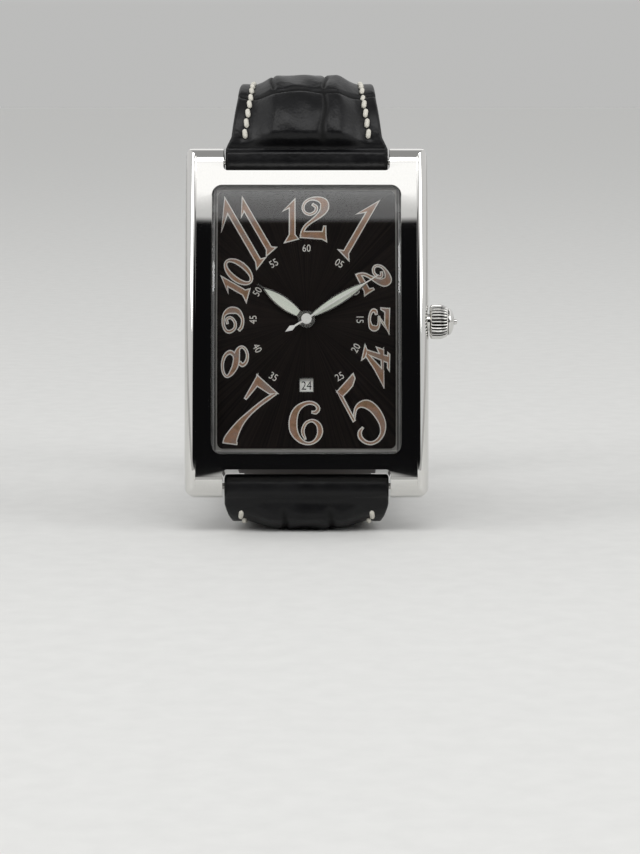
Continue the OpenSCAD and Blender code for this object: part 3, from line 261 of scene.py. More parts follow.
def lay_pattern(tree, surface, pattern, tones=(), roughness=(), depth=0.0):
    """Lets a pattern of 0 to 1 shape a surface, as far as it is told. The colour runs through the
    tones, the roughness goes from the first value to the second while the pattern goes from 0.3
    to 0.7, and the surface rises by the pattern times depth in millimetres."""
    if tones:
        shade = add(tree, "ValToRGB", {"Fac": pattern}, stops=tones)
        tree.links.new(shade.outputs["Color"], surface.inputs["Base Color"])
    if roughness:
        dull = add(tree, "MapRange", {"Value": pattern, "From Min": 0.3, "From Max": 0.7,
                                      "To Min": roughness[0], "To Max": roughness[1]})
        tree.links.new(dull.outputs["Result"], surface.inputs["Roughness"])
    if depth:
        rise = add(tree, "Bump", {"Height": pattern, "Distance": depth * MM, "Strength": 1.0})
        tree.links.new(rise.outputs["Normal"], surface.inputs["Normal"])


print("noise scale of marks 0.1 mm wide:", round(1 / (0.1 * MM)))

# %% [markdown]
# Each metal is named for the real one and for how its surface was made. Polished steel is a
# mirror with hair-fine wiping marks. Turned, brushed and stamped metal carries coarser marks,
# and their width, length and depth say which it is.

# %% Metals


def metal(name, dark, light, roughness, size, stretch=(1, 1, 1), depth=0.0):
    """A bare metal of two close tones, whose roughness goes from 0.85 to 1.2 times the given one."""
    material, tree, surface = new_material(name, Metallic=1.0)
    lay_pattern(tree, surface, marked(tree, size, stretch), [(0.25, dark), (0.75, light)],
                (roughness * 0.85, roughness * 1.2), depth)
    return material


# Name: darker tone, lighter tone, roughness, mark width in mm, stretch, depth in mm
METALS = {
    # 316L steel, lapped and buffed: a clear mirror with marks too fine to feel
    "polished_steel": ("#DBDAD7", "#DFDEDB", 0.03, 0.12, (1, 1, 0.1)),
    # the same steel brushed up and down on the back: a soft grey streak
    "brushed_steel": ("#B9B8B5", "#C8C7C4", 0.24, 0.05, (1, 1, 0.03), 0.0015),
    # lathe-turned screws: a half gloss with fine lines
    "turned_steel": ("#C4C3C0", "#D2D1CE", 0.14, 0.08, (0.05, 1, 1), 0.001),
    # hour and minute hands: stamped, polished steel
    "hand_steel": ("#D5D3CE", "#E0DED9", 0.2, 0.1),
    # movement parts: nickel-plated and matt
    "nickel_plate": ("#A9A7A1", "#BAB8B2", 0.32, 0.06, (1, 1, 1), 0.002),
    # wheels: gilt brass, a warm half gloss
    "gilt_brass": ("#B8923F", "#CFAA58", 0.28, 0.06, (1, 0.2, 1), 0.001),
    # button cell and quartz can: nickel-plated cups with the marks of deep drawing
    "cell_cup": ("#B4B3AF", "#C3C2BE", 0.26, 0.1, (1, 1, 0.1), 0.001),
    # spring bars and their pins: drawn wire, streaked lengthwise
    "pin_steel": ("#B0AFAC", "#BFBEBB", 0.25, 0.1, (0.1, 1, 1)),
    # coil core and stator: soft magnetic iron, dark and dull
    "soft_iron": ("#8F8D88", "#A19F99", 0.38, 0.08, (0.3, 1, 1), 0.002),
}
FINISHES = {name: metal(name, *made) for name, made in METALS.items()}
print("metals:", sorted(FINISHES))

# %% [markdown]
# The crown's grip is steel too, and its flutes are narrow. Their floors are painted dark as
# painted shade, in place of the shade and dark reflections down in them. The crown's mesh keeps
# how deep each point lies, and that sets the tone.

# %% Fluted steel


def fluted_steel():
    """Polished steel, bright on the ridges, with painted shade in the flutes by their depth attribute."""
    material, tree, surface = new_material("fluted_steel", Metallic=1.0)
    flute_shade_mask = add(tree, "Attribute", attribute_name="flute_shade_mask").outputs["Fac"]
    # painted shade: the flute floors go to near black
    lay_pattern(tree, surface, flute_shade_mask, tones=[(0.3, "#DDDCD9"), (0.62, "#211F1C")])
    lay_pattern(tree, surface, marked(tree, 0.12, (1, 1, 0.1)), roughness=(0.06, 0.1))
    return material


FINISHES["fluted_steel"] = fluted_steel()
print("finishes so far:", len(FINISHES))

# %% [markdown]
# Moulded, printed, painted and sewn pieces reflect little and keep their own colour. Their tone
# clouds a little, and those with a grain have it as a shallow rise of the same cloud.

# %% Mouldings, paints and thread


def clouded(name, dark, light, roughness, size, depth=0.0):
    """Two close tones in a cloud of the given size in mm, with 0.9 to 1.1 times the roughness."""
    material, tree, surface = new_material(name)
    lay_pattern(tree, surface, marked(tree, size, detail=5.0), [(0.3, dark), (0.7, light)],
                (roughness * 0.9, roughness * 1.1), depth)
    return material


# Name: darker tone, lighter tone, roughness, cloud in mm, depth in mm
CLOUDED = {
    # silver ink, pad-printed: pale and even
    "silver_print": ("#C4C1BB", "#D4D1CB", 0.4, 0.2),
    # the seconds hand: brushed steel under a clear satin lacquer, pale from every side
    "satin_silver": ("#D6D5D1", "#E6E5E1", 0.35, 0.1),
    # black ink of the dates: dense and flat
    "black_print": ("#101012", "#18181A", 0.5, 0.3),
    # glow-in-the-dark paste: grainy and faintly green
    "lume": ("#C4C9BD", "#D6DACF", 0.75, 0.12, 0.004),
    # the date ring: white lacquer as smooth as card
    "white_card": ("#EDECE7", "#F3F2ED", 0.5, 0.4),
    # gaskets: matt black nitrile rubber
    "rubber": ("#101010", "#181818", 0.7, 0.1, 0.003),
    # movement holder: unfilled nylon, a waxy grey-white
    "holder_nylon": ("#B9B7AE", "#C9C7BE", 0.55, 0.3, 0.003),
    # main plate: glass-filled nylon, dark grey and a little speckled
    "plate_nylon": ("#3A3C40", "#484A4E", 0.5, 0.3, 0.003),
    # circuit board: green resin over woven glass
    "board_laminate": ("#12502C", "#1B6A3C", 0.4, 0.25, 0.002),
    # the chip's drop of cast black resin
    "chip_resin": ("#0D0D0E", "#161618", 0.45, 0.15, 0.003),
    # the rotor's magnet: sintered, a grey block with a fine grain
    "magnet": ("#5A5B5E", "#6C6D70", 0.4, 0.08, 0.003),
    # the strap's lining: plain brown-black calf, dull and soft
    "lining_leather": ("#1A1512", "#2A221D", 0.65, 0.3, 0.012),
    # waxed linen thread, cream, with the ridges of its twist
    "waxed_thread": ("#CFCBBF", "#E6E3D9", 0.6, 0.18, 0.03),
}
FINISHES |= {name: clouded(name, *made) for name, made in CLOUDED.items()}
print("clouded finishes:", len(CLOUDED))

# %% [markdown]
# The dial is brass, brushed outwards from its centre and lacquered. Its fine grooves run as
# spokes, so a warm sheen turns with the light. Noise over the direction round the hands' axis
# draws them, because along a spoke that direction stays the same, and the same direction
# stretches the highlight.

# %% Dial lacquer
DIAL_SPOKES = 60.0


def from_hub(tree):
    """Where a point lies from the hub, in metres: its place less the hub's."""
    place = add(tree, "TexCoord").outputs["Object"]
    return add(tree, "VectorMath", {0: place, 1: tuple(hub)}, operation="SUBTRACT").outputs["Vector"]


def sunray_dial():
    """Black-brown lacquer over a brushed disc. The spokes' direction is (place - hub) x out, made
    one long."""
    material, tree, surface = new_material("sunray_dial", Metallic=0.85, Anisotropic=0.7,
                                           Coat_Weight=0.6, Coat_Roughness=0.1)
    across = add(tree, "VectorMath", {0: from_hub(tree), 1: tuple(out_w)}, operation="CROSS_PRODUCT")
    spoke = add(tree, "VectorMath", {0: across.outputs["Vector"]}, operation="NORMALIZE").outputs["Vector"]
    grooves = add(tree, "TexNoise", {"Vector": spoke, "Scale": DIAL_SPOKES, "Detail": 2.0}).outputs["Fac"]
    lay_pattern(tree, surface, grooves, [(0.3, "#120E0D"), (0.7, "#241D1A")], (0.30, 0.38))
    tree.links.new(spoke, surface.inputs["Tangent"])
    return material


FINISHES["sunray_dial"] = sunray_dial()
print("finishes so far:", len(FINISHES))

# %% [markdown]
# The crystal is clear and bends light. Window glass has an IOR of 1.52 and sapphire 1.77, and
# the reflection in the picture is as strong as sapphire's. It rests in a grey seal whose two fine
# lips each have a painted highlight, with painted shade in the groove between them.

# %% Crystal and its seal
CRYSTAL_IOR = 1.77
# Half the case's opening across and along, and how far in from it the seal reaches, in mm
WINDOW, SEAL_WIDE = (12.6, 18.0), 0.8
# Painted light across the seal, by distance in from the opening: a highlight at its edge, shade in the
# groove, a fainter highlight further in
SEAL_PAINTED_LIGHT = [(0.26, "#B5B2AD"), (0.36, "#1E1D1C"), (0.74, "#1E1D1C"), (0.86, "#6E6C68")]


def crystal_glass():
    """Clear crystal, hardly smeared. Shadow rays pass it straight, so the lamps light the dial."""
    material, tree, surface = new_material("mineral_glass", Roughness=0.0, IOR=CRYSTAL_IOR,
                                           Transmission_Weight=1.0)
    lay_pattern(tree, surface, marked(tree, 8.0), [(0.2, "#F8FAF9"), (0.8, "#FFFFFF")])
    shadow = add(tree, "LightPath").outputs["Is Shadow Ray"]
    clear = add(tree, "BsdfTransparent")
    both = add(tree, "MixShader", {0: shadow, 1: surface.outputs["BSDF"], 2: clear.outputs["BSDF"]})
    tree.links.new(both.outputs["Shader"], tree.nodes["Material Output"].inputs["Surface"])
    return material


def grey_seal():
    """Grey nylon with painted highlights on its lips and painted shade in its groove. The distance
    in from the opening is the smaller of half width - |u| and half length - |v|."""
    material, tree, surface = new_material("grey_seal")
    place = from_hub(tree)
    inward = []
    for way, half in ((side_u, WINDOW[0]), (up_v, WINDOW[1])):
        along = add(tree, "VectorMath", {0: place, 1: tuple(way)}, operation="DOT_PRODUCT").outputs["Value"]
        size = add(tree, "Math", {0: along}, operation="ABSOLUTE")
        inward.append(add(tree, "Math", {0: half * MM, 1: size}, operation="SUBTRACT"))
    near = add(tree, "Math", {0: inward[0], 1: inward[1]}, operation="MINIMUM")
    across = add(tree, "MapRange", {"Value": near, "From Min": 0.0, "From Max": SEAL_WIDE * MM})
    lay_pattern(tree, surface, across.outputs["Result"], tones=SEAL_PAINTED_LIGHT)
    lay_pattern(tree, surface, marked(tree, 0.5), roughness=(0.3, 0.4))
    return material


FINISHES |= {"mineral_glass": crystal_glass(), "grey_seal": grey_seal()}
print("opening in mm:", [2 * half for half in WINDOW])

# %% [markdown]
# Two finishes are neither bare metal nor plain paint. The coil is wound with enamelled copper
# wire, whose turns show as bands. The numerals' ink holds bronze and rose pigments that didn't
# quite mix, and flakes that glint.

# %% Copper wire and bronze ink
# A real turn is about 0.02 mm wide; the bands are this far apart so that they show
WIRE_BANDS = 2 * np.pi * 0.12


def wound_wire():
    """Copper bands along X. A wave's bands lie 2 pi / (20 scale) apart."""
    material, tree, surface = new_material("wound_wire", Metallic=0.9, Roughness=0.3)
    place = add(tree, "TexCoord").outputs["Object"]
    scale = 2 * np.pi / (20 * WIRE_BANDS * MM)
    turns = add(tree, "TexWave", {"Vector": place, "Scale": scale, "Distortion": 0.4}, bands_direction="X")
    lay_pattern(tree, surface, turns.outputs["Fac"], [(0.2, "#6E2F16"), (0.8, "#B4602F")], depth=0.03)
    return material


def bronze_print():
    """Patches of 1.5 mm in four warm tones, times flakes of 0.12 mm in two greys."""
    material, tree, surface = new_material("bronze_print", Metallic=0.55, Roughness=0.42)
    ink = add(tree, "ValToRGB", {"Fac": marked(tree, 1.5, detail=2.0)},
              stops=[(0.32, "#8C7054"), (0.46, "#A67F66"), (0.58, "#9E8272"), (0.72, "#9A8B85")])
    flakes = add(tree, "ValToRGB", {"Fac": marked(tree, 0.12, detail=2.0)},
                 stops=[(0.3, "#D0D0D0"), (0.7, "#FFFFFF")])
    both = add(tree, "Mix", {0: 1.0, 6: ink, 7: flakes}, data_type="RGBA", blend_type="MULTIPLY").outputs[2]
    tree.links.new(both, surface.inputs["Base Color"])
    return material


FINISHES |= {"wound_wire": wound_wire(), "bronze_print": bronze_print()}
print("bands of the wire in mm:", round(WIRE_BANDS, 2))

# %% [markdown]
# The strap is alligator-grained calf: dyed black and glazed, so that it shines softly over a
# fine grain of pebbles. The pebbles are cells of 0.35 mm, and the skin swells and sinks a little
# over 2.5 mm. The creases between the big scales are in the mesh, and their depth is kept there
# as an attribute that dulls them and paints shade into them.

# %% Alligator leather
PEBBLE, PEBBLE_DEEP, SWELL, SWELL_DEEP = 0.35, 0.022, 2.5, 0.12
CREASE_ROUGH = 0.7


def alligator_leather():
    """Glazed black leather. Colour and roughness are dye and glaze outside the creases. With the
    crease attribute the roughness goes dull and the colour goes to near black, painted shade; the
    swell's bump lies on the pebbles' bump."""
    material, tree, surface = new_material("alligator_leather", Specular_IOR_Level=0.28)
    place = add(tree, "TexCoord").outputs["Object"]
    pebbles = add(tree, "TexVoronoi", {"Vector": place, "Scale": 1 / (PEBBLE * MM)}, feature="SMOOTH_F1")
    swell = marked(tree, SWELL)
    crease = add(tree, "Attribute", attribute_name="crease").outputs["Fac"]
    dye = add(tree, "ValToRGB", {"Fac": swell}, stops=[(0.3, "#08080A"), (0.7, "#0E0E10")])
    # painted shade: the creases go to near black
    dark = add(tree, "Mix", {0: crease, 6: dye, 7: colour("#030303")}, data_type="RGBA").outputs[2]
    glaze = add(tree, "MapRange", {"Value": swell, "From Min": 0.3, "From Max": 0.7,
                                   "To Min": 0.32, "To Max": 0.42})
    dull = add(tree, "Mix", {0: crease, 2: glaze, 3: CREASE_ROUGH}).outputs[0]
    fine = add(tree, "Bump", {"Height": pebbles.outputs["Distance"], "Distance": PEBBLE_DEEP * MM,
                              "Strength": 1.0})
    soft = add(tree, "Bump", {"Height": swell, "Distance": SWELL_DEEP * MM, "Strength": 1.0,
                              "Normal": fine.outputs["Normal"]})
    for output, socket in ((dark, "Base Color"), (dull, "Roughness"), (soft.outputs["Normal"], "Normal")):
        tree.links.new(output, surface.inputs[socket])
    return material


FINISHES["alligator_leather"] = alligator_leather()
print("finishes:", len(FINISHES))

# %% [markdown]
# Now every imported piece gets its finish. Its own slots are cleared first, because the packed
# model comes with plain colours.

# %% What each piece wears
WEARS = {
    "polished_steel": "case_body crown crown_cap crown_tube buckle_frame buckle_tongue",
    "brushed_steel": "case_back", "turned_steel": "case_back_screws bridge_screws clamp_screw",
    "mineral_glass": "crystal", "grey_seal": "crystal_gasket", "rubber": "case_back_gasket crown_gasket",
    "sunray_dial": "dial", "hand_steel": "hour_hand minute_hand", "satin_silver": "second_hand",
    "lume": "hour_lume minute_lume", "white_card": "date_ring",
    "holder_nylon": "movement_holder", "plate_nylon": "main_plate",
    "nickel_plate": "stem train_bridge battery_clamp cannon_pinion date_jumper setting_lever sliding_pinion",
    "gilt_brass": "intermediate_wheel seconds_wheel third_wheel center_wheel minute_wheel hour_wheel "
                  "date_driving_wheel",
    "cell_cup": "battery quartz_crystal", "board_laminate": "circuit_board", "chip_resin": "control_chip",
    "soft_iron": "coil_core stator", "wound_wire": "coil_winding", "magnet": "rotor",
    "pin_steel": "upper_spring_bar lower_spring_bar upper_left_pin upper_right_pin lower_left_pin "
                 "lower_right_pin bar_springs buckle_bar",
    "alligator_leather": "upper_strap lower_strap fixed_keeper free_keeper",
    "lining_leather": "upper_strap_lining lower_strap_lining",
}
dressed = [(name, finish) for finish, names in WEARS.items() for name in names.split()]
for name, finish in dressed:
    nodes[name].data.materials.clear()
    nodes[name].data.materials.append(FINISHES[finish])
print("nodes with a finish:", len(dressed), "of", len(nodes))

# %% [markdown]
# Every made piece is a grid of points worked out with numpy. Four helpers turn such a grid into
# a mesh: one lists its faces, one makes an object that rides on the body which carries it, one
# does both for a new piece and gives it its finish, and one cuts openings in it.

# %% Mesh helpers


def grid_faces(rows, columns, round_rows=False):
    """Quads of a grid whose columns close into rings; its rows close too, or get an end face each."""
    row = np.arange(rows if round_rows else rows - 1)[:, None]
    here = np.arange(columns)[None, :]
    there, above = (here + 1) % columns, (row + 1) % rows * columns
    row = row * columns
    quads = np.stack([row + here, row + there, above + there, above + here], -1).reshape(-1, 4).tolist()
    if round_rows:
        return quads
    return quads + [list(range(columns))[::-1], list(range((rows - 1) * columns, rows * columns))]


def mount(name, mesh, body):
    """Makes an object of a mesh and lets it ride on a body."""
    piece = bpy.data.objects.new(name, mesh)
    bpy.context.scene.collection.objects.link(piece)
    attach(piece, body)
    return piece


def new_piece(name, points, faces, finish, body):
    """Makes a piece from points in metres, with its faces turned outwards."""
    mesh = bpy.data.meshes.new(name)
    mesh.from_pydata(np.asarray(points).reshape(-1, 3).tolist(), [], faces)
    form = bmesh.new()
    form.from_mesh(mesh)
    bmesh.ops.recalc_face_normals(form, faces=form.faces)
    form.to_mesh(mesh)
    form.free()
    mesh.polygons.foreach_set("use_smooth", [True] * len(mesh.polygons))
    mesh.materials.append(FINISHES[finish])
    return mount(name, mesh, body)


def cut_openings(piece, points, faces):
    """Takes a closed cutter's space out of a piece for good."""
    mesh = bpy.data.meshes.new("cutter")
    mesh.from_pydata(np.asarray(points).reshape(-1, 3).tolist(), [], faces)
    cutter = bpy.data.objects.new("cutter", mesh)
    bpy.context.scene.collection.objects.link(cutter)
    cut = piece.modifiers.new("openings", "BOOLEAN")
    cut.object, cut.solver = cutter, "EXACT"
    bpy.context.view_layer.update()
    finished = bpy.data.meshes.new_from_object(piece.evaluated_get(bpy.context.evaluated_depsgraph_get()))
    piece.modifiers.remove(cut)
    piece.data = finished
    bpy.data.objects.remove(cutter)


print("faces of a tube with 3 rings of 8:", len(grid_faces(3, 8)))

# %% [markdown]
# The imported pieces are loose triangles, so light breaks at every facet of a bend. On the pieces
# that are looked at most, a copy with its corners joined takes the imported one's place: faces
# that meet at less than 32 degrees shade as one curve, and sharper edges stay sharp. Some edges
# of the crystal are only 3 to 8 degrees sharp, so there the limit is 3 degrees.

# %% Smooth copies
SMOOTH_UNDER, CRYSTAL_UNDER = 32, 3
JOIN_WITHIN = 0.001


def smooth_copy(node, name, body, under=SMOOTH_UNDER):
    """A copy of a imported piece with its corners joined, which takes the piece's place."""
    mesh = nodes[node].data.copy()
    mesh.name = name
    form = bmesh.new()
    form.from_mesh(mesh)
    bmesh.ops.remove_doubles(form, verts=form.verts, dist=JOIN_WITHIN * MM)
    form.to_mesh(mesh)
    form.free()
    if "custom_normal" in mesh.attributes:
        mesh.attributes.remove(mesh.attributes["custom_normal"])
    mesh.polygons.foreach_set("use_smooth", [True] * len(mesh.polygons))
    mesh.set_sharp_from_angle(angle=np.radians(under))
    piece = mount(name, mesh, body)
    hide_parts(node)
    return piece


case_shell = smooth_copy("case_body", "case_shell", "watch")
smooth_copy("case_back", "back_plate", "watch")
smooth_copy("crystal", "front_glass", "watch", CRYSTAL_UNDER)
smooth_copy("crown_cap", "crown_dome", "winder")
smooth_copy("buckle_frame", "buckle_bow", "buckle")
smooth_copy("buckle_tongue", "buckle_pin", "tongue")
print("corners of the case:", len(case_shell.data.vertices))

# %% [markdown]
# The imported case's front runs 0.03 mm past the start of each lug's bend. In a mirror that small
# step is a dark line, so the copy's first points of each bend are lifted onto the front.

# %% A step in the front
# The front's radius; where the bend's first points lie along v; how high they are at least; how
# far before them the front is measured; and the most that a point is lifted, all in mm
FRONT_R = 140.0
STEP_FROM, STEP_TO, STEP_OVER = 20.99, 21.4, -1.0
FRONT_STRIP, MOST_LIFT = 0.3, 0.04


def close_step(piece):
    """Lifts the first points of each lug's bend onto the front: w = w0 - (v^2 - v0^2) / (2 R) there,
    which is the front's circle to a thousandth of a millimetre."""
    points = mesh_points(piece.data)
    v, w = (points - hub) @ up_v / MM, (points - hub) @ out_w / MM
    front = (np.abs(v) < STEP_FROM) & (np.abs(v) > STEP_FROM - FRONT_STRIP) & (w > STEP_OVER)
    start = w[front].max() + v[front][w[front].argmax()] ** 2 / (2 * FRONT_R)
    near = (np.abs(v) > STEP_FROM) & (np.abs(v) < STEP_TO) & (w > STEP_OVER)
    lift = np.clip(np.where(near, start - v ** 2 / (2 * FRONT_R) - w, 0), 0, MOST_LIFT)
    piece.data.vertices.foreach_set("co", (points + MM * lift[:, None] * out_w).ravel())
    return int((lift > 0).sum())


print("points lifted:", close_step(case_shell))

# %% [markdown]
# The crown is a barrel that the fingers grip by its flutes. A lathe-turned outline runs from
# the face against the case to the one under the dome, and the flutes are a wave round it that
# fades out at both chamfers. The outer shoulder falls towards the dome, so that the flutes are
# seen to bend. Their depth is kept as an attribute, which the finish reads to paint shade into
# them. The crown's size and place are those of the imported one.

# %% Fluted crown
FLUTES, FLUTE_DEEP, FLUTE_POWER = 30, 0.3, 1.3
CROWN_STEPS, CROWN_ROUND, CROWN_UNDER = 40, 16, 60
CROWN_CHAMFER, OUTER_CHAMFER = 0.35, 0.3
CROWN_BARREL, SHOULDER_DROP, SHOULDER_FROM = 0.1, 0.42, -0.1
GRIP_FROM, GRIP_OVER = 0.12, 0.2


def smooth_step(t):
    """0 below 0, 1 above 1 and 3 t^2 - 2 t^3 between."""
    t = np.clip(t, 0, 1)
    return t * t * (3 - 2 * t)


def fluted_crown():
    """Rings along x whose radius is R - barrel t^2, less a chamfer, less the outer shoulder's drop
    and less the flutes' depth times 1 - |sin(flutes angle / 2)|^1.3, with t from -1 to 1 along the
    crown; both ends are closed."""
    low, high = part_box("crown")
    centre, reach = (low + high) / 2 / MM, (high - low) / 2 / MM
    t = np.linspace(-1, 1, CROWN_STEPS)[:, None]
    angle = np.linspace(0, 2 * np.pi, FLUTES * CROWN_ROUND, endpoint=False)[None, :]
    from_end = reach.x * (1 - np.abs(t))
    chamfer = CROWN_CHAMFER * (1 - smooth_step(from_end / CROWN_CHAMFER)) ** 2
    chamfer = chamfer * np.where(t < 0, 1, OUTER_CHAMFER)
    shoulder = SHOULDER_DROP * np.clip((t - SHOULDER_FROM) / (1 - SHOULDER_FROM), 0, 1) ** 2
    gripped = smooth_step((from_end - GRIP_FROM) / GRIP_OVER)
    sunk = gripped * (1 - np.abs(np.sin(FLUTES * angle / 2)) ** FLUTE_POWER)
    r = reach.z - CROWN_BARREL * t ** 2 - chamfer - shoulder - FLUTE_DEEP * sunk
    x = np.broadcast_to(centre.x + reach.x * t, r.shape)
    points = np.stack([x, centre.y + r * np.cos(angle), centre.z + r * np.sin(angle)], -1) * MM
    piece = new_piece("fluted_crown", points, grid_faces(*r.shape), "fluted_steel", "winder")
    # how deep each point lies, which the finish turns into painted shade
    depth = piece.data.attributes.new("flute_shade_mask", "FLOAT", "POINT")
    depth.data.foreach_set("value", sunk.ravel().astype(np.float32))
    piece.data.set_sharp_from_angle(angle=np.radians(CROWN_UNDER))
    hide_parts("crown")
    return piece


print("crown faces:", len(fluted_crown().data.polygons))

# %% [markdown]
# The strap's two halves follow one seam each: a chain of straights and arcs in the plane
# through the middle of the watch. Walking along such a chain gives a place and a heading at
# any distance, so everything on the strap can be placed by how far along it lies.

# %% Walking along a chain


def arc(radius, turn):
    """A link of a chain: its length, radius times angle, and how many degrees it turns to the left."""
    return radius * abs(np.radians(turn)), turn


def walk(place, link, s):
    """Place and heading after s on a link. With k = turn / length the heading is h = a + k s, and
    the place moves by (sin h - sin a) / k across and (cos a - cos h) / k up."""
    y, z, a = place
    k = np.radians(link[1]) / link[0]
    h = a + k * s
    if link[1] == 0:
        return y + s * np.cos(a), z + s * np.sin(a), h
    return y + (np.sin(h) - np.sin(a)) / k, z + (np.cos(a) - np.cos(h)) / k, h


def chain_length(chain):
    """The sum of the links' lengths."""
    return sum(length for length, turn in chain)


def bar_axis(node):
    """Where a bar crosses the middle plane: its distance back and its height, in millimetres."""
    low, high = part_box(node)
    middle = (low + high) / 2 / MM
    return middle.y, middle.z


print("upper spring bar in mm:", [round(c, 2) for c in bar_axis("upper_spring_bar")])

# %% [markdown]
# At its ends a half's leather turns back round a bar: round a spring bar at the lugs, and round
# the buckle's bar at the upper half's other end. There the foot stays and the heading turns.

# %% A half's seam
# Radius of the turn round a spring bar and round the buckle's bar, and how far outwards of the
# seam that second bar lies, in mm
LOOP_R, BUCKLE_LOOP, BUCKLE_N = 1.6, 1.55, 0.3


class Seam:
    """One half's line. Outwards is left of the way along for side 1 and right of it for -1."""

    def __init__(self, bar, heading, side, chain):
        self.start, self.side, self.chain = (*bar, np.radians(heading)), side, chain
        self.length = chain_length(chain)

    def way(self, s):
        """Foot and heading at s. Before 0 the leather turns round its spring bar and past the end
        round the buckle's bar: the bar stays, and the heading turns by distance / radius."""
        s = np.asarray(s, float)
        way = np.zeros((3, *s.shape))
        begin, at = 0.0, self.start
        for link in self.chain:
            on = s >= begin
            way[:, on] = walk(at, link, np.minimum(s[on], self.length) - begin)
            at, begin = walk(at, link, link[0]), begin + link[0]
        way[0], way[1] = np.where(s < 0, self.start[0], way[0]), np.where(s < 0, self.start[1], way[1])
        way[2] = np.where(s < 0, self.start[2] - self.side * s / LOOP_R, way[2])
        past = np.maximum(s - self.length, 0)
        straight = way[2].copy()
        way[2] -= self.side * past / BUCKLE_LOOP
        way[0] -= self.side * BUCKLE_N * (np.sin(straight) - np.sin(way[2]))
        way[1] += self.side * BUCKLE_N * (np.cos(straight) - np.cos(way[2]))
        return way

    def points(self, s, x, n):
        """Points at s along, x across and n outwards, in millimetres: foot + n times the heading
        turned outwards. s, x and n spread over each other."""
        y, z, h = self.way(s)
        x, y, z, h, n = np.broadcast_arrays(x, y, z, h, n)
        return np.stack([x, y - self.side * np.sin(h) * n, z + self.side * np.cos(h) * n], -1) * MM


print("the buckle's bar lies", BUCKLE_N, "mm out of the seam")

# %% [markdown]
# The lengths and bends are those of the construction. The upper half climbs from its bar over a
# crest and runs down the back to the buckle. The lower half bends under the watch, lies flat on
# the table, turns up at the heel and runs on outside the upper half once it has met it; where it
# starts is read from its spring bar, and the rest follows from where the upper half runs.

# %% The two halves
# Upper half in mm: climb from the bar, crest, slope, shoulder, and the run down to the buckle
RISE, CREST_R, SLOPE, SHOULDER_R, BAR_AT = 3.06, 8.0, 6.0, 7.0, 26.0
# Degrees below level behind the crest and down the back
TOP_SLOPE, BACK_SLOPE = 20.0, 72.0
# Lower half in mm: bend under the lugs, heel, and the seam's height where the strap lies flat
LOW_BEND_R, HEEL_R, REST_H = 3.17, 8.0, 2.3
# The buckle's length and the step outwards that starts below it
BUCKLE_L, JOG_L, JOG_BELOW = 8.0, 10.0, 3
# How far out of the upper seam the lower one runs, where they overlap and where it runs alone
RUN_N, SINGLE_N = 3.1, 0.6

upper_bends = [(RISE, 0), arc(CREST_R, lean - 90 - TOP_SLOPE), (SLOPE, 0),
               arc(SHOULDER_R, TOP_SLOPE - BACK_SLOPE)]
back_from = chain_length(upper_bends)
upper = Seam(bar_axis("upper_spring_bar"), 90 - lean, 1, [*upper_bends, (BAR_AT, 0)])

slope = np.radians(BACK_SLOPE)
back_y, back_z, _ = upper.way(np.array([back_from]))[:, 0]
single_z = back_z + SINGLE_N * np.cos(slope)
heel_cut = HEEL_R * np.tan((np.pi - slope) / 2)
jog_turn = 2 * np.degrees(np.arctan((RUN_N - SINGLE_N) / JOG_L))
jog = JOG_L / 2 / np.sin(np.radians(jog_turn))
jog_at = BAR_AT + BUCKLE_L + JOG_BELOW
low_bar = bar_axis("lower_spring_bar")
rest_from = low_bar[0] + LOW_BEND_R * np.cos(np.radians(lean))
rest_to = back_y + SINGLE_N * np.sin(slope) + (single_z - REST_H) / np.tan(slope) - heel_cut
climb = (single_z - REST_H) / np.sin(slope) - heel_cut - jog_at
lower = Seam(low_bar, -90 - lean, -1, [
    arc(LOW_BEND_R, 90 + lean), (rest_to - rest_from, 0), arc(HEEL_R, 180 - BACK_SLOPE), (climb, 0),
    arc(jog, -jog_turn), arc(jog, jog_turn), (jog_at - JOG_L, 0),
    arc(SHOULDER_R + RUN_N, BACK_SLOPE - TOP_SLOPE)])
print("strap halves in mm:", round(upper.length, 2), round(lower.length, 2))

# %% [markdown]
# Padded alligator leather is a soft core under a glossy hide, drawn down to a flat margin along
# the stitching. The strap just fills the gap between the lugs and narrows to the buckle.
# Just behind the lugs the hide dips into a valley before its pad rises.

# %% Sizes of the leather
LUG_W, END_W = 21.8, 18.0
EDGE_T, PAD_HIGH, PAD_END, LINING_T = 1.3, 3.1, 1.6, 1.0
STITCH_IN, EDGE_ROUND, VALLEY = 1.8, 0.4, 1.1
BAR_BORE, BUCKLE_BORE = 1.0, 0.85
GRAIN_STEP = 0.22
LOOP_TURN = np.radians(250)

low_arc, low_flat = lower.chain[0][0], lower.chain[1][0]
# Each table holds distances along the half, then the size at each: widths, and pad heights
UPPER_W = ([0, 1.6, 3.2, 8.3, 13, upper.length * 0.7],
           [LUG_W, LUG_W, LUG_W * 0.93, LUG_W * 0.865, LUG_W * 0.835, END_W])
LOWER_W = ([0, 2.0, 4.5, 20, lower.length * 0.5], [LUG_W, LUG_W, LUG_W * 0.93, LUG_W * 0.86, END_W])
UPPER_PAD = ([1.0, 1.5, 1.9, 2.6, 3.3, 10, 16.5, upper.length * 0.55],
             [LOOP_R, VALLEY, VALLEY + 0.15, PAD_HIGH * 0.86, PAD_HIGH, PAD_HIGH * 0.88,
              PAD_HIGH * 0.74, PAD_END])
LOWER_PAD = ([0.8, 1.4, 1.8, 2.8, low_arc, low_arc + low_flat, chain_length(lower.chain[:3]), lower.length],
             [LOOP_R, VALLEY, VALLEY + 0.1, PAD_HIGH * 0.75, REST_H, REST_H, PAD_END, PAD_END * 0.9])
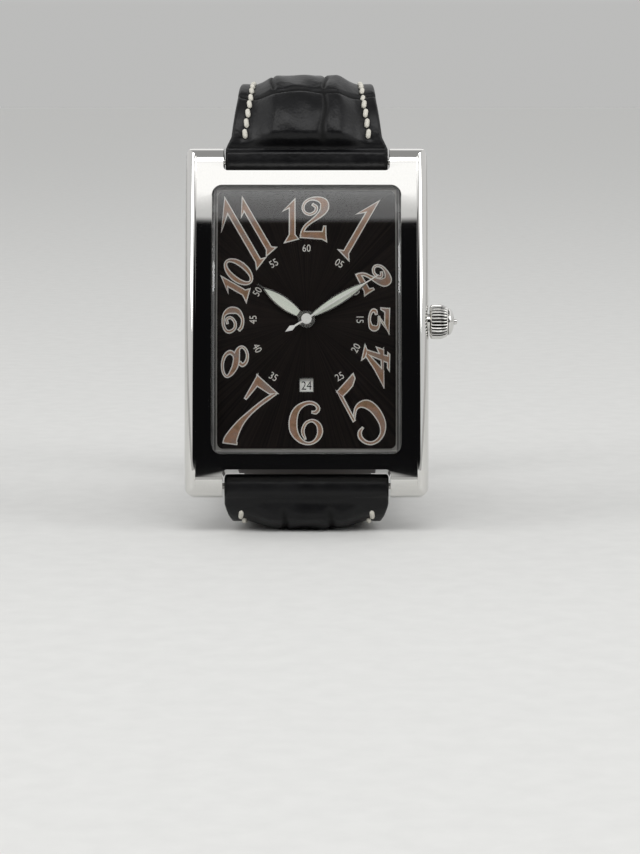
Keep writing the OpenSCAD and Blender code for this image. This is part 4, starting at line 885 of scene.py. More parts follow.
# The underside's height and the margin's height next to a spring bar
UNDER_BAR = ([0, 1.4], [BAR_BORE, 0])
EDGE_AT_BAR = ([0.9, 1.5, 2.2], [LOOP_R, VALLEY, EDGE_T])
print("width in mm from lugs to buckle:", LUG_W, END_W)

# %% [markdown]
# The hide's scales are big and nearly square in the middle of the strap. Their creases are
# modelled, because light runs along them; the finest grain is left to the finish. The rows that
# the picture shows on the crest come first, and the rows behind them fall by chance.

# %% Creases between the scales
CREASE_W, CREASE_DEEP = 0.24, 0.36
# A row's length near the lugs, how much shorter it is at the end, and over what distance
ROW_L, ROW_SHRINK, SHRINK_OVER = 6.5, 2.5, 50
# Where the creases start behind the bar, and over what distance they deepen
CREASE_FROM, CREASE_OVER = 1.9, 0.8


def bell(distance, width):
    """exp(-(distance / width)^2)"""
    return np.exp(-(distance / width) ** 2)


def scale_rows(first_rows, until, seed):
    """Scales along a half: each row's start and the places of its lengthwise creases. After the
    given rows, a row is 6.5 mm long near the lugs and 4 mm near the end, and the creases stagger."""
    chance = np.random.default_rng(seed)
    rows = list(first_rows)
    while rows[-1][0] < until:
        begin = rows[-1][0]
        middle = (1.5 if len(rows) % 2 else -2.4) + chance.uniform(-0.6, 0.6)
        step = ROW_L - ROW_SHRINK * min(begin / SHRINK_OVER, 1) + chance.uniform(-0.5, 0.5)
        rows.append((begin + step, [middle - 5.3, middle, middle + 5.1]))
    return rows


def creases(s, x, rows):
    """Share of the full depth at a point, from the deepest crease near it: a bell over the distance
    to each row's wavy border and to each lengthwise line inside its row. The turn round the
    spring bar stays smooth, and the first row's lines are wider towards it."""
    depth = np.zeros(np.broadcast(s, x).shape)
    for (begin, lines), (end, _) in zip(rows[:-1], rows[1:]):
        border = begin + 0.3 * np.sin(0.6 * x + begin) + 0.008 * x * x
        width = CREASE_W * (1 + 0.3 * np.sin(1.7 * x + 2 * begin))
        depth = np.maximum(depth, bell(s - border, width))
        inside = smooth_step((s - border) / 0.9) * smooth_step((end - s + 0.4) / 0.9)
        for line in lines:
            wander = line + 0.22 * np.sin(1.1 * s + 3 * line)
            line_width = CREASE_W * (1 + 1.1 * np.exp(-np.maximum(s - 2.5, 0) / 2.5) * (begin < 0))
            depth = np.maximum(depth, 0.95 * inside * bell(x - wander, line_width))
    return depth * smooth_step((s - CREASE_FROM) / CREASE_OVER)


UPPER_ROWS = scale_rows([(-9, [2.35]), (8.3, [-4.65, 2.5])], upper.length + 4, 7)
LOWER_ROWS = scale_rows([(-9, [-3.0, 3.2]), (5.6, [-2.2, 4.1])], lower.length, 11)
print("rows of scales:", len(UPPER_ROWS), len(LOWER_ROWS))

# %% [markdown]
# A cross-section of the hide is a closed ring: over the top, round one edge, back underneath and
# up the other edge. The top is flat at the margin, sinks into a channel under the thread and
# rises to the pad. Flesh under the skin makes it swell a little unevenly.

# %% The hide's cross-section
TOP_COLUMNS, CORNER_STEPS, UNDER_COLUMNS = 97, 4, 5
# Share of the half width where the pad is full, and the least share where it starts
PAD_FULL, PAD_FOOT = 0.42, 0.6
CHANNEL_DEEP, CHANNEL_W, FLESH = 0.16, 0.42, 0.12
# Where the sewn part starts behind the bar, and over what distance
SEWN_FROM, SEWN_OVER = 2.4, 0.8
THINNEST = 0.05


def hide_height(s, x, half, pad, edge, rows):
    """Height of the hide over the seam: the margin's edge height, plus a padded middle that rises
    as a smooth step between the stitching and 0.42 of the half width, less channel and creases."""
    foot = np.maximum(half - STITCH_IN - 0.25, half * PAD_FOOT)
    rise = smooth_step((foot - np.abs(x)) / (foot - PAD_FULL * half))
    sewn = smooth_step((s - SEWN_FROM) / SEWN_OVER)
    channel = CHANNEL_DEEP * sewn * bell(np.abs(x) - half + STITCH_IN, CHANNEL_W)
    flesh = FLESH * np.sin(1.3 * x + 0.4 * s) * np.sin(0.9 * s) * rise * sewn
    return edge + (pad - edge) * rise + flesh - channel - CREASE_DEEP * creases(s, x, rows)


def leather_section(s, half, low, pad, edge, rows):
    """Closed section at each station s: over the hide from left to right, round the right edge,
    back underneath and up the left edge. Returns x and the height n over the seam."""
    stations = np.broadcast_arrays(s, half, low, pad, edge)
    s, half, low, pad, edge = (np.asarray(value, float)[:, None] for value in stations)
    over_x = np.linspace(-1, 1, TOP_COLUMNS)[None, :] * (half - EDGE_ROUND)
    over_n = hide_height(s, over_x, half, pad, edge, rows)
    turn = np.linspace(0, np.pi / 2, CORNER_STEPS + 1)[None, 1:]
    brim = np.maximum(over_n[:, -1:] - EDGE_ROUND * (1 - np.cos(turn)), low + THINNEST)
    side_x = half - EDGE_ROUND + EDGE_ROUND * np.sin(turn)
    under_x = np.linspace(1, -1, UNDER_COLUMNS)[None, :] * half
    under_n = np.broadcast_to(low, under_x.shape)
    return (np.concatenate([over_x, side_x, under_x, -side_x[:, ::-1]], 1),
            np.concatenate([over_n, brim, under_n, brim[:, ::-1]], 1))


print("pad height 10 mm along, in mm:", round(float(np.interp(10, *UPPER_PAD)), 2))

# %% [markdown]
# The lower half ends in a round tip. The upper half wraps the buckle's bar, so near it the
# section moves out to the bar's far side. No cloth is simulated: this padding is glued and
# stitched and keeps its moulded form.

# %% The two hides
TIP_STATIONS, TIP_LEAST = 60, 0.12
BUCKLE_SWELL = 2.5


def tail_taper(s, length):
    """Share of the width left in the tail's round tip: the height of a circle of half its width."""
    left = np.clip((length - s) / (END_W / 2), 0, 1)
    return np.maximum(np.sqrt(1 - (1 - left) ** 2), TIP_LEAST)


def hide(name, seam, widths, pads, rows, last, node):
    """One half's hide, from its turn round the spring bar to last. Its stations are even, and in
    the tail's round tip they lie at the sines of even angles. Near the buckle's bar the underside
    and the pad move out by a smooth step."""
    fine_tip = seam.length - END_W / 2 * (1 - np.sin(np.linspace(0, np.pi / 2, TIP_STATIONS)))
    s = np.arange(-LOOP_R * LOOP_TURN, last, GRAIN_STEP)
    if seam is lower:
        s = np.concatenate([s[s < fine_tip[0] - GRAIN_STEP], fine_tip])
    tip = tail_taper(s, seam.length) if seam is lower else 1
    half = np.interp(s, *widths) / 2 * tip
    at_buckle = smooth_step((s - seam.length + BUCKLE_SWELL) / BUCKLE_SWELL) if seam is upper else 0
    low = np.interp(s, *UNDER_BAR) + (BUCKLE_BORE + BUCKLE_N) * at_buckle
    pad = np.interp(s, *pads) + (BUCKLE_LOOP + BUCKLE_N - PAD_END) * at_buckle
    edge = np.interp(s, *EDGE_AT_BAR)
    edge = np.minimum(pad, edge + (pad - edge) * at_buckle)
    x, n = leather_section(s, half, low, pad, edge, rows)
    points = seam.points(s[:, None], x, n)
    piece = new_piece(name, points, grid_faces(*x.shape), "alligator_leather", "watch")
    shade = np.zeros(x.shape)
    shade[:, :TOP_COLUMNS] = creases(s[:, None], x[:, :TOP_COLUMNS], rows)
    piece.data.attributes.new("crease", "FLOAT", "POINT").data.foreach_set("value", shade.ravel())
    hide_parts(node)
    return piece


round_buckle = upper.length + BUCKLE_LOOP * np.radians(200)
upper_hide = hide("upper_hide", upper, UPPER_W, UPPER_PAD, UPPER_ROWS, round_buckle, "upper_strap")
lower_hide = hide("lower_hide", lower, LOWER_W, LOWER_PAD, LOWER_ROWS, lower.length, "lower_strap")
print("hide faces:", len(upper_hide.data.polygons), len(lower_hide.data.polygons))

# %% [markdown]
# Inside lies a plain lining of calf, flat against the hide and rounded at its lower edges. It
# begins behind the spring bar, because only the hide turns round that.

# %% Linings
LINING_STEP, LINING_ROUND, LINING_LAP = 0.8, 0.3, 0.04


def lining(name, seam, widths, first, last, node):
    """A strip LINING_T thick under the seam. Its lower edges are quarter circles."""
    s = np.linspace(first, last, int((last - first) / LINING_STEP))
    half = np.interp(s, *widths) / 2 * (tail_taper(s, seam.length) if seam is lower else 1)
    turn = np.linspace(0, np.pi / 2, 5)[None, :]
    side_x = half[:, None] - LINING_ROUND + LINING_ROUND * np.cos(turn)
    side_n = np.broadcast_to(-LINING_T + LINING_ROUND - LINING_ROUND * np.sin(turn), side_x.shape)
    roof = np.array([-1, -0.5, 0, 0.5, 1])[None, :] * half[:, None]
    x = np.concatenate([roof, side_x, -side_x[:, ::-1]], 1)
    n = np.concatenate([np.full(roof.shape, LINING_LAP), side_n, side_n[:, ::-1]], 1)
    points = seam.points(s[:, None], x, n)
    piece = new_piece(name, points, grid_faces(*x.shape), "lining_leather", "watch")
    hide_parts(node)
    return piece


upper_lining = lining("upper_lining", upper, UPPER_W, LOOP_R + 0.1, upper.length - 1.65, "upper_strap_lining")
lower_lining = lining("lower_lining", lower, LOWER_W, LOOP_R + 0.3, lower.length, "lower_strap_lining")
print("lining faces:", len(upper_lining.data.polygons), len(lower_lining.data.polygons))

# %% [markdown]
# Cream thread sews hide and lining together. A stitch is a short thick bead of thread that
# leans a little out of its row, as a saddle stitch does. One row runs along each edge, one
# crosses the upper half before the buckle, and one follows the tail's round tip.

# %% Stitches
THREAD_R, STITCH_STEP, STITCH_L, STITCH_LEAN = 0.33, 1.32, 1.22, 0.14
BEAD_RINGS, BEAD_ROUND, BEAD_SUNK, BEAD_TIP = 9, 10, 0.5, 0.01
# Where the long rows start, and how far before the upper half's end they stop and one crosses
UPPER_FROM, LOWER_FROM, ROWS_STOP, ROW_ACROSS, CROSS_GAP = 3.5, 3.2, 3.2, 3.4, 0.6


def beads(name, seam, widths, pads, rows, s, x, turn):
    """One mesh of stitches. Each is a bead whose radius follows (1 - t^4)^(1/2) along it, lying on
    the hide at s and x and turned in plan by turn from the way along."""
    half = np.interp(s, *widths) / 2
    level = hide_height(s, x, half, np.interp(s, *pads), EDGE_T, rows) + BEAD_SUNK * THREAD_R
    t = np.linspace(-1, 1, BEAD_RINGS)[None, :, None]
    round_turn = np.linspace(0, 2 * np.pi, BEAD_ROUND, endpoint=False)[None, None, :]
    thick = THREAD_R * np.sqrt(np.maximum(1 - t ** 4, BEAD_TIP))
    along, across, up = STITCH_L / 2 * t, thick * np.cos(round_turn), thick * np.sin(round_turn)
    turn = turn[:, None, None]
    points = seam.points(
        s[:, None, None] + along * np.cos(turn) - across * np.sin(turn),
        x[:, None, None] + along * np.sin(turn) + across * np.cos(turn), level[:, None, None] + up)
    *quads, foot, head = grid_faces(BEAD_RINGS, BEAD_ROUND)
    quads, caps = np.array(quads), np.array([foot, head])
    faces = []
    for first in range(0, len(s) * BEAD_RINGS * BEAD_ROUND, BEAD_RINGS * BEAD_ROUND):
        faces += (quads + first).tolist() + (caps + first).tolist()
    return new_piece(name, points, faces, "waxed_thread", "watch")


def columns(first, last, widths):
    """Stitches along both edges: their places along and across, and their turns in plan."""
    s = np.arange(first, last, STITCH_STEP)
    x = np.interp(s, *widths) / 2 - STITCH_IN
    turn = np.full(s.shape, STITCH_LEAN)
    return np.tile(s, 2), np.concatenate([x, -x]), np.concatenate([turn, -turn])


s, x, turn = columns(UPPER_FROM, upper.length - ROWS_STOP, UPPER_W)
row_x = np.arange(-END_W / 2 + STITCH_IN + STITCH_STEP, END_W / 2 - STITCH_IN - CROSS_GAP, STITCH_STEP)
s = np.concatenate([s, np.full(row_x.shape, upper.length - ROW_ACROSS)])
x, turn = np.concatenate([x, row_x]), np.concatenate([turn, np.full(row_x.shape, np.pi / 2)])
beads("upper_stitches", upper, UPPER_W, UPPER_PAD, UPPER_ROWS, s, x, turn)
print("stitches in the upper half:", len(s))

s, x, turn = columns(LOWER_FROM, lower.length - END_W / 2, LOWER_W)
round_r = END_W / 2 - STITCH_IN
angle = np.arange(STITCH_STEP / round_r, np.pi, STITCH_STEP / round_r)
s = np.concatenate([s, lower.length - END_W / 2 + round_r * np.sin(angle)])
x, turn = np.concatenate([x, round_r * np.cos(angle)]), np.concatenate([turn, -angle])
beads("lower_stitches", lower, LOWER_W, LOWER_PAD, LOWER_ROWS, s, x, turn)
print("stitches in the lower half:", len(s))

# %% [markdown]
# Two leather bands hold the tail: one is sewn in place behind the buckle and the other slides.
# A band follows a rounded rectangle round both thicknesses. Its outer face is a little crowned,
# with a creased line near each edge.

# %% Keepers
# Length along the strap, thickness, and the inside's half width, lowest, highest and corner
KEEPER_L, KEEPER_T, KEEPER_IN = 5.0, 1.2, 9.3
KEEPER_LOW, KEEPER_HIGH, KEEPER_CORNER = -1.3, 5.0, 0.6
KEEPER_SOFT, KEEPER_CROWN = 0.35, 0.06
LINE_IN, LINE_DEEP, LINE_W = 0.75, 0.13, 0.14
# Points in a corner of the band and along a side, and over its outer face
TURN_POINTS, SIDE_POINTS, FACE_POINTS = 9, 10, 33
# How far the fixed band is from the buckle's bar, and the free one from the shoulder
FIXED_ABOVE, FREE_BELOW = 4.5, 0.6


def rounded_path(half_x, low, high, radius, steps):
    """Points and outward directions of a rounded rectangle, anticlockwise from its right side:
    corner centre + radius (cos, sin)."""
    turn = np.linspace(0, np.pi / 2, steps)
    corners = [(half_x - radius, high - radius), (radius - half_x, high - radius),
               (radius - half_x, low + radius), (half_x - radius, low + radius)]
    angles = np.concatenate([turn + i * np.pi / 2 for i in range(4)])
    centres = np.repeat(np.array(corners), steps, 0)
    out = np.stack([np.cos(angles), np.sin(angles)], 1)
    return centres + radius * out, out


def band_section():
    """A ring of places along the strap and heights: a face crowned by 1 - (a / half)^2 with a bell
    for each line, two round edges and a flat inside."""
    half = KEEPER_L / 2
    turn = np.linspace(0, np.pi / 2, 5)
    over = np.linspace(-half + KEEPER_SOFT, half - KEEPER_SOFT, FACE_POINTS)
    crown = KEEPER_T * (1 + KEEPER_CROWN * (1 - (over / half) ** 2))
    crown = crown - LINE_DEEP * bell(np.abs(over) - half + LINE_IN, LINE_W)
    ring_a = np.concatenate([over, half - KEEPER_SOFT + KEEPER_SOFT * np.sin(turn), [half, -half],
                             -half + KEEPER_SOFT - KEEPER_SOFT * np.cos(turn)])
    ring_t = np.concatenate([crown, KEEPER_T - KEEPER_SOFT + KEEPER_SOFT * np.cos(turn), [0, 0],
                             KEEPER_T - KEEPER_SOFT + KEEPER_SOFT * np.sin(turn)])
    return ring_a, ring_t


def keeper(name, at_back, body, node):
    """A band: its section carried along the rounded rectangle, each height laid outwards."""
    ring_a, ring_t = band_section()
    path, out = rounded_path(KEEPER_IN, KEEPER_LOW, KEEPER_HIGH, KEEPER_CORNER, TURN_POINTS)
    side = np.linspace(0, 1, SIDE_POINTS + 2)[1:-1, None]
    pieces = []
    for first in range(0, len(path), TURN_POINTS):
        last, following = first + TURN_POINTS - 1, (first + TURN_POINTS) % len(path)
        straight = path[last] + side * (path[following] - path[last])
        pieces += [np.hstack([path[first:last + 1], out[first:last + 1]]),
                   np.hstack([straight, np.repeat(out[last][None, :], SIDE_POINTS, 0)])]
    line = np.concatenate(pieces)[:, None, :]
    x = line[..., 0] + line[..., 2] * ring_t
    n = line[..., 1] + line[..., 3] * ring_t
    points = upper.points(back_from + at_back + ring_a[None, :], x, n)
    faces = grid_faces(*x.shape, round_rows=True)
    piece = new_piece(name, points, faces, "alligator_leather", body)
    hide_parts(node)
    return piece


fixed_band = keeper("fixed_band", BAR_AT - KEEPER_L / 2 - FIXED_ABOVE, "watch", "fixed_keeper")
keeper("free_band", KEEPER_L / 2 + FREE_BELOW, "keeper", "free_keeper")
print("faces of a keeper:", len(fixed_band.data.polygons))

# %% [markdown]
# The tail's holes, the slot through which the buckle's tongue passes the tail, and the slot in
# the upper half where the tongue hangs on its bar go right through leather and lining. A round
# peg or a block is laid through the strap and its space is taken out.

# %% Holes and slots
HOLES, HOLE_STEP, HOLE_R = 7, 6.5, 0.8
TAIL_SLOT_W, BAR_SLOT_W = 2.0, 2.4
# A slot's reach before and after the buckle's bar, and from below to above the seam, in mm
TAIL_SLOT, BAR_SLOT = (-0.2, 6, 0, 8), (2.4, 3.6, -4, 4)
PEG_SIDES, PEG_FROM, PEG_TO = 24, -3.0, 5.0
# The middle hole lies about half the buckle's length below its bar
tongue_hole = chain_length(lower.chain[:6]) - BUCKLE_L / 2 + 0.6


def block(seam, at, half_x, before, after, low, high):
    """Corners and faces of a block across a seam at one station: foot + t along + n outwards."""
    s, x, n = np.meshgrid([at - before, at + after], [-half_x, half_x], [low, high], indexing="ij")
    way = seam.way(np.array([float(at)]))[:, 0]
    t = (s - at).ravel()
    n = n.ravel()
    y = way[0] + np.cos(way[2]) * t - seam.side * np.sin(way[2]) * n
    z = way[1] + np.sin(way[2]) * t + seam.side * np.cos(way[2]) * n
    corners = np.stack([x.ravel(), y, z], 1) * MM
    return corners, [(0, 1, 3, 2), (4, 6, 7, 5), (0, 4, 5, 1), (2, 3, 7, 6), (0, 2, 6, 4), (1, 5, 7, 3)]


def peg(seam, at, radius):
    """A round peg square through a seam: a circle of (cos, sin) across and along, at two heights."""
    angle = np.linspace(0, 2 * np.pi, PEG_SIDES, endpoint=False)[None, :]
    n = np.array([PEG_FROM, PEG_TO])[:, None]
    y0, z0, h = seam.way(np.array([float(at)]))[:, 0]
    t = radius * np.sin(angle)
    y = y0 + np.cos(h) * t - seam.side * np.sin(h) * n
    z = z0 + np.sin(h) * t + seam.side * np.cos(h) * n
    x = np.broadcast_to(radius * np.cos(angle), y.shape)
    return np.stack([x, y, z], -1) * MM, grid_faces(2, PEG_SIDES)


for i in range(HOLES):
    for strip in (lower_hide, lower_lining):
        cut_openings(strip, *peg(lower, tongue_hole + (i - (HOLES - 1) / 2) * HOLE_STEP, HOLE_R))
for strip in (upper_hide, upper_lining):
    cut_openings(strip, *block(upper, upper.length, BAR_SLOT_W / 2, *BAR_SLOT))
for strip in (lower_hide, lower_lining):
    cut_openings(strip, *block(upper, upper.length, TAIL_SLOT_W / 2, *TAIL_SLOT))
print("hide faces with openings:", len(upper_hide.data.polygons), len(lower_hide.data.polygons))

# %% [markdown]
# The hour numerals are printed: a rose and bronze metallic face with a bright silver edge. Each
# figure is drawn the way a sign painter does it, as broad strokes of changing width along a
# curve and as straight-edged plates, in millimetres. The same strokes, grown all round, give
# the silver edge below.

# %% Strokes
STROKE_STEPS, LEAST_AREA = 7, 1e-4


def smooth_line(points):
    """A smooth curve through points: between two of them, the cubic whose slope at each is half
    the way from the point before it to the point after it."""
    p = np.asarray(points, float)
    p = np.vstack([2 * p[0] - p[1], p, 2 * p[-1] - p[-2]])
    a, b, c, d = (part[:, None, :] for part in (p[:-3], p[1:-2], p[2:-1], p[3:]))
    t = np.linspace(0, 1, STROKE_STEPS, endpoint=False)[None, :, None]
    bend, twist = 2 * a - 5 * b + 4 * c - d, 3 * b - a - 3 * c + d
    line = 0.5 * (2 * b + (c - a) * t + bend * t ** 2 + twist * t ** 3)
    return np.vstack([line.reshape(-1, p.shape[1]), p[-2]])


def stroke_shapes(points, grow):
    """Triangles along a stroke. Its sides lie half its width plus grow to the left and right of
    its line, and both ends reach on by grow. Where the inner side folds back in a tight bend a
    triangle is turned over, and one without an area is left out."""
    line = smooth_line(points)
    along = np.gradient(line[:, :2], axis=0)
    along /= np.linalg.norm(along, axis=1, keepdims=True)
    left = np.stack([-along[:, 1], along[:, 0]], 1)
    centre = np.vstack([line[0, :2] - grow * along[0], line[:, :2], line[-1, :2] + grow * along[-1]])
    left = np.vstack([left[0], left, left[-1]])
    half = np.concatenate([[line[0, 2]], line[:, 2], [line[-1, 2]]])[:, None] / 2 + grow
    over, under = centre + half * left, centre - half * left
    lower_half, upper_half = [under[:-1], under[1:], over[1:]], [under[:-1], over[1:], over[:-1]]
    flat = np.concatenate([np.stack(lower_half, 1), np.stack(upper_half, 1)])
    first, second = flat[:, 1] - flat[:, 0], flat[:, 2] - flat[:, 0]
    area = first[:, 0] * second[:, 1] - first[:, 1] * second[:, 0]
    flat[area < 0] = flat[area < 0][:, ::-1]
    return list(flat[np.abs(area) > LEAST_AREA])


print("points of a stroke with 3 marks:", len(smooth_line([(0, 0, 1), (1, 1, 1), (2, 0, 1)])))

# %% [markdown]
# A plate grows by moving its edges out. Where strokes and plates overlap, a constrained
# triangulation joins them into one flat sheet without doubled faces.

# %% Plates and joining
MOST_CORNER = 3


def plate_shape(points, grow):
    """A plate whose edges move out by grow. A corner moves along the sum of its two edge normals
    divided by 1 + their dot product, and by 3 grow at most."""
    p = np.asarray(points, float)
    after = np.roll(p, -1, 0)
    if (p[:, 0] * after[:, 1] - after[:, 0] * p[:, 1]).sum() < 0:
        p = p[::-1]
    edge = np.roll(p, -1, 0) - p
    normal = np.stack([edge[:, 1], -edge[:, 0]], 1) / np.linalg.norm(edge, axis=1, keepdims=True)
    before = np.roll(normal, 1, 0)
    step = (normal + before) / (1 + (normal * before).sum(1, keepdims=True) + 1e-6)
    size = np.linalg.norm(step, axis=1, keepdims=True)
    return p + grow * step * np.minimum(1, MOST_CORNER / np.maximum(size, 1e-6))


def joined(shapes):
    """Triangles of everything that lies in at least one shape."""
    corners, faces = [], []
    for shape in shapes:
        faces.append(list(range(len(corners), len(corners) + len(shape))))
        corners += [Vector(corner) for corner in np.asarray(shape).tolist()]
    flat, _, pieces, _, _, inside = geometry.delaunay_2d_cdt(corners, [], faces, 1, 1e-5)
    return np.array([tuple(corner) for corner in flat]), [face for face, own in zip(pieces, inside) if own]


square = [(0, 0), (2, 0), (2, 2), (0, 2)]
print("a square of 2 mm grown by 1 mm:", plate_shape(square, 1.0).round(2).tolist())

# %% [markdown]
# Each figure holds its strokes, as (x, y, width) points, and its plates. A 1 is one plate: a
# foot with two pointed ends, a stem and a flag.

# %% Figures
STEM = 0.3


def one(x, foot, top, tip, joint, left, right):
    """A figure 1 in one outline: its foot with two pointed ends, its stem, and its flag from the
    stem's top to the tip."""
    return [], [[left, right, (x + STEM, foot + 0.4), (x + STEM, top), tip, (x - STEM, joint),
                 (x - STEM, foot + 0.4)]]


around = np.linspace(0, 2 * np.pi, 17)
ZERO = np.stack([1.03 * np.cos(around) + 0.26 * np.sin(around), 2.05 * np.sin(around),
                 0.12 + 0.34 * np.cos(around) ** 2], 1)
TWO = [(-0.45, 4.25, 0.12), (0.0, 3.9, 0.16), (-0.15, 3.3, 0.16), (-0.8, 2.95, 0.12), (-1.45, 3.15, 0.1),
       (-1.78, 3.7, 0.1), (-1.63, 4.34, 0.1), (-1.2, 4.8, 0.12), (-0.5, 5.05, 0.2), (0.4, 4.95, 0.5),
       (1.0, 4.55, 0.85), (1.1, 3.9, 0.95), (0.8, 3.25, 0.7), (0.15, 2.6, 0.42), (-0.65, 2.0, 0.24),
       (-1.42, 1.35, 0.2), (-1.8, 0.7, 0.2), (-1.93, 0.1, 0.25)]
THREE = [(-0.55, 0.02, 0.05), (0.15, 0.02, 0.1), (0.6, -0.07, 0.15), (0.87, -0.3, 0.42),
         (0.93, -0.63, 0.58), (0.75, -1.0, 0.42), (0.15, -1.2, 0.14), (-0.4, -1.24, 0.1),
         (-1.05, -1.08, 0.12), (-1.42, -0.8, 0.24), (-1.35, -0.45, 0.26), (-1.0, -0.35, 0.1)]
SIX = [(0.9, 1.45, 0.1), (1.32, 1.44, 0.26), (1.66, 1.88, 0.25), (1.39, 2.4, 0.2), (0.72, 2.69, 0.22),
       (-0.05, 2.6, 0.3), (-0.82, 2.16, 0.5), (-1.35, 1.49, 0.7), (-1.63, 0.58, 0.85), (-1.68, -0.29, 0.88),
       (-1.56, -1.06, 0.82), (-1.15, -1.83, 0.6), (-0.53, -2.42, 0.35), (0.29, -2.7, 0.16), (1.06, -2.5, 0.2),
       (1.66, -1.9, 0.38), (1.9, -1.1, 0.5), (1.73, -0.3, 0.42), (1.25, 0.2, 0.26), (0.67, 0.32, 0.14),
       (0.05, 0.0, 0.14), (-0.32, -0.67, 0.17), (-0.36, -1.35, 0.17), (-0.08, -2.05, 0.05)]
EIGHT = [(0.1, 0.6, 0.3), (0.38, 0.98, 0.25), (-0.05, 1.45, 0.2), (-0.85, 1.62, 0.12), (-1.6, 1.42, 0.14),
         (-2.02, 0.95, 0.1), (-1.8, 0.45, 0.2), (-1.1, 0.22, 0.55), (-0.2, 0.14, 0.62), (0.6, -0.04, 0.58),
         (1.4, -0.48, 0.4), (1.88, -0.95, 0.14), (1.75, -1.35, 0.1), (1.05, -1.64, 0.1), (0.05, -1.66, 0.12),
         (-0.9, -1.32, 0.2), (-1.32, -0.68, 0.32), (-0.95, -0.15, 0.3), (-0.4, 0.05, 0.3)]
NINE = [(-0.23, 0.72, 0.08), (0.3, 0.78, 0.1), (0.46, 0.21, 0.1), (-0.16, -0.31, 0.12), (-0.95, -0.26, 0.14),
        (-1.4, 0.4, 0.2), (-1.15, 0.95, 0.16), (-0.3, 1.26, 0.12), (0.75, 1.17, 0.14), (1.32, 0.65, 0.5),
        (1.48, 0.0, 0.68), (1.25, -0.75, 0.48), (0.3, -1.3, 0.15), (-0.7, -1.2, 0.18), (-1.15, -0.88, 0.16)]
SEVEN = [(-2.7, -4.7, 1.7), (-2.6, -4.15, 1.5), (-2.0, -3.0, 1.05), (-1.2, -1.85, 0.65), (-0.2, -0.8, 0.38),
         (1.05, 0.3, 0.3), (2.2, 1.15, 0.3), (3.25, 1.85, 0.15)]
FIVE = [(-1.0, -1.6, 0.05), (-0.8, -0.45, 0.16), (-0.25, 0.15, 0.5), (0.65, 0.25, 0.95), (1.55, -0.3, 0.95),
        (2.3, -1.3, 0.85), (2.75, -2.35, 0.66), (2.75, -3.5, 0.4), (2.2, -4.45, 0.26), (1.35, -4.9, 0.22),
        (0.5, -4.75, 0.26), (-0.15, -4.15, 0.32), (-0.25, -3.45, 0.26), (0.1, -2.9, 0.06)]

FIGURES = {
    "zero": ([ZERO], []),
    "two": ([TWO], [[(-2.05, -0.1), (1.2, -0.35), (1.1, 0.55), (-1.8, 0.55)],
                    [(0.6, -0.2), (1.28, -0.6), (1.2, 0.2)],
                    [(0.85, 0.5), (1.05, 1.28), (1.18, 1.28), (1.2, 0.2)]]),
    "three": ([THREE], [[(-1.65, 0.88), (0.35, 0.85), (1.45, 1.3), (-1.65, 1.36)],
                        [(-1.72, 0.35), (-1.62, 0.35), (-1.2, 0.95), (-1.65, 1.1)],
                        [(-0.5, 0.14), (0.3, 0.64), (1.45, 1.28), (0.15, 0.44)]]),
    "four": ([], [[(1.6, 1.2), (2.0, 1.2), (1.15, -1.65), (0.4, -1.65)],
                  [(1.3, 1.3), (1.6, 1.15), (-0.7, -0.95), (-2.7, -1.0), (-0.5, 0.12)],
                  [(-2.7, -1.0), (2.1, -1.0), (1.3, -0.74), (-0.9, -0.85)],
                  [(1.2, -0.95), (2.08, -0.95), (2.33, -0.2), (1.35, -0.65)],
                  [(2.55, 1.42), (0.9, 1.78), (1.1, 1.5), (2.0, 1.2)],
                  [(-0.5, -1.72), (1.45, -1.75), (1.55, -1.65), (-0.3, -1.6)]]),
    "five": ([FIVE], [[(-3.2, 1.85), (-2.55, 1.25), (-0.95, -1.85), (-1.1, -1.95)],
                      [(-3.2, 1.9), (-1.15, 4.2), (-0.95, 3.7), (-1.25, 2.75), (-1.85, 2.05),
                       (-2.55, 1.35)]]),
    "six": ([SIX], []),
    "seven": ([SEVEN], [[(0.9, 4.2), (3.4, 1.95), (2.5, 1.9), (0.9, 2.95)],
                        [(-0.7, 1.28), (-0.58, 1.2), (0.9, 3.0), (0.9, 4.2)]]),
    "eight": ([EIGHT], []),
    "nine": ([NINE], []),
    "one_of_twelve": one(-0.42, -0.2, 4.85, (-1.5, 3.5), 3.95, (-1.28, -0.75), (0.3, -0.33)),
    "one_alone": one(-0.22, -0.5, 7.9, (-1.45, 5.25), 6.1, (-1.05, -0.3), (0.5, -0.75)),
    "eleven_left": one(0.31, -3.0, 6.8, (-1.85, 3.4), 5.1, (-0.3, -3.35), (1.12, -2.75)),
    "eleven_right": one(2.37, -2.3, 5.7, (1.4, 3.75), 4.3, (1.7, -2.5), (3.1, -2.2)),
    "one_of_ten": one(-0.49, -2.1, 1.85, (-1.42, 0.32), 0.8, (-1.3, -2.45), (0.2, -2.05)),
}
print("figures:", sorted(FIGURES))

# %% [markdown]
# The figures of the lower half stand on their heads towards the centre as on the real dial, so
# a table places them: figure, u, v, turn to the right in degrees, and stretch across and up.

# %% Where the numerals stand
NUMERALS = [
    ("one_of_twelve", -1.5, 11.2, 0, 1, 1), ("two", 1.3, 11.2, 0, 1, 1), ("one_alone", 5.5, 9.0, 30, 1, 1),
    ("two", 7.6, 4.5, 60, 0.86, 0.7), ("three", 9.6, -0.2, 90, 1, 1), ("four", 9.2, -6.1, -90, 1, 1),
    ("five", 7.3, -11.5, 0, 1, 1), ("six", -0.1, -13.75, 0, 1, 1), ("seven", -7.4, -11.7, 0, 1, 1),
    ("eight", -9.45, -5.65, 90, 1, 1), ("nine", -9.8, -0.2, -90, 1, 1), ("one_of_ten", -9.5, 4.9, -60, 1, 1),
    ("zero", -9.05, 6.42, -60, 1, 1), ("eleven_left", -8, 10, -30, 1, 1), ("eleven_right", -8, 10, -30, 1, 1),
]


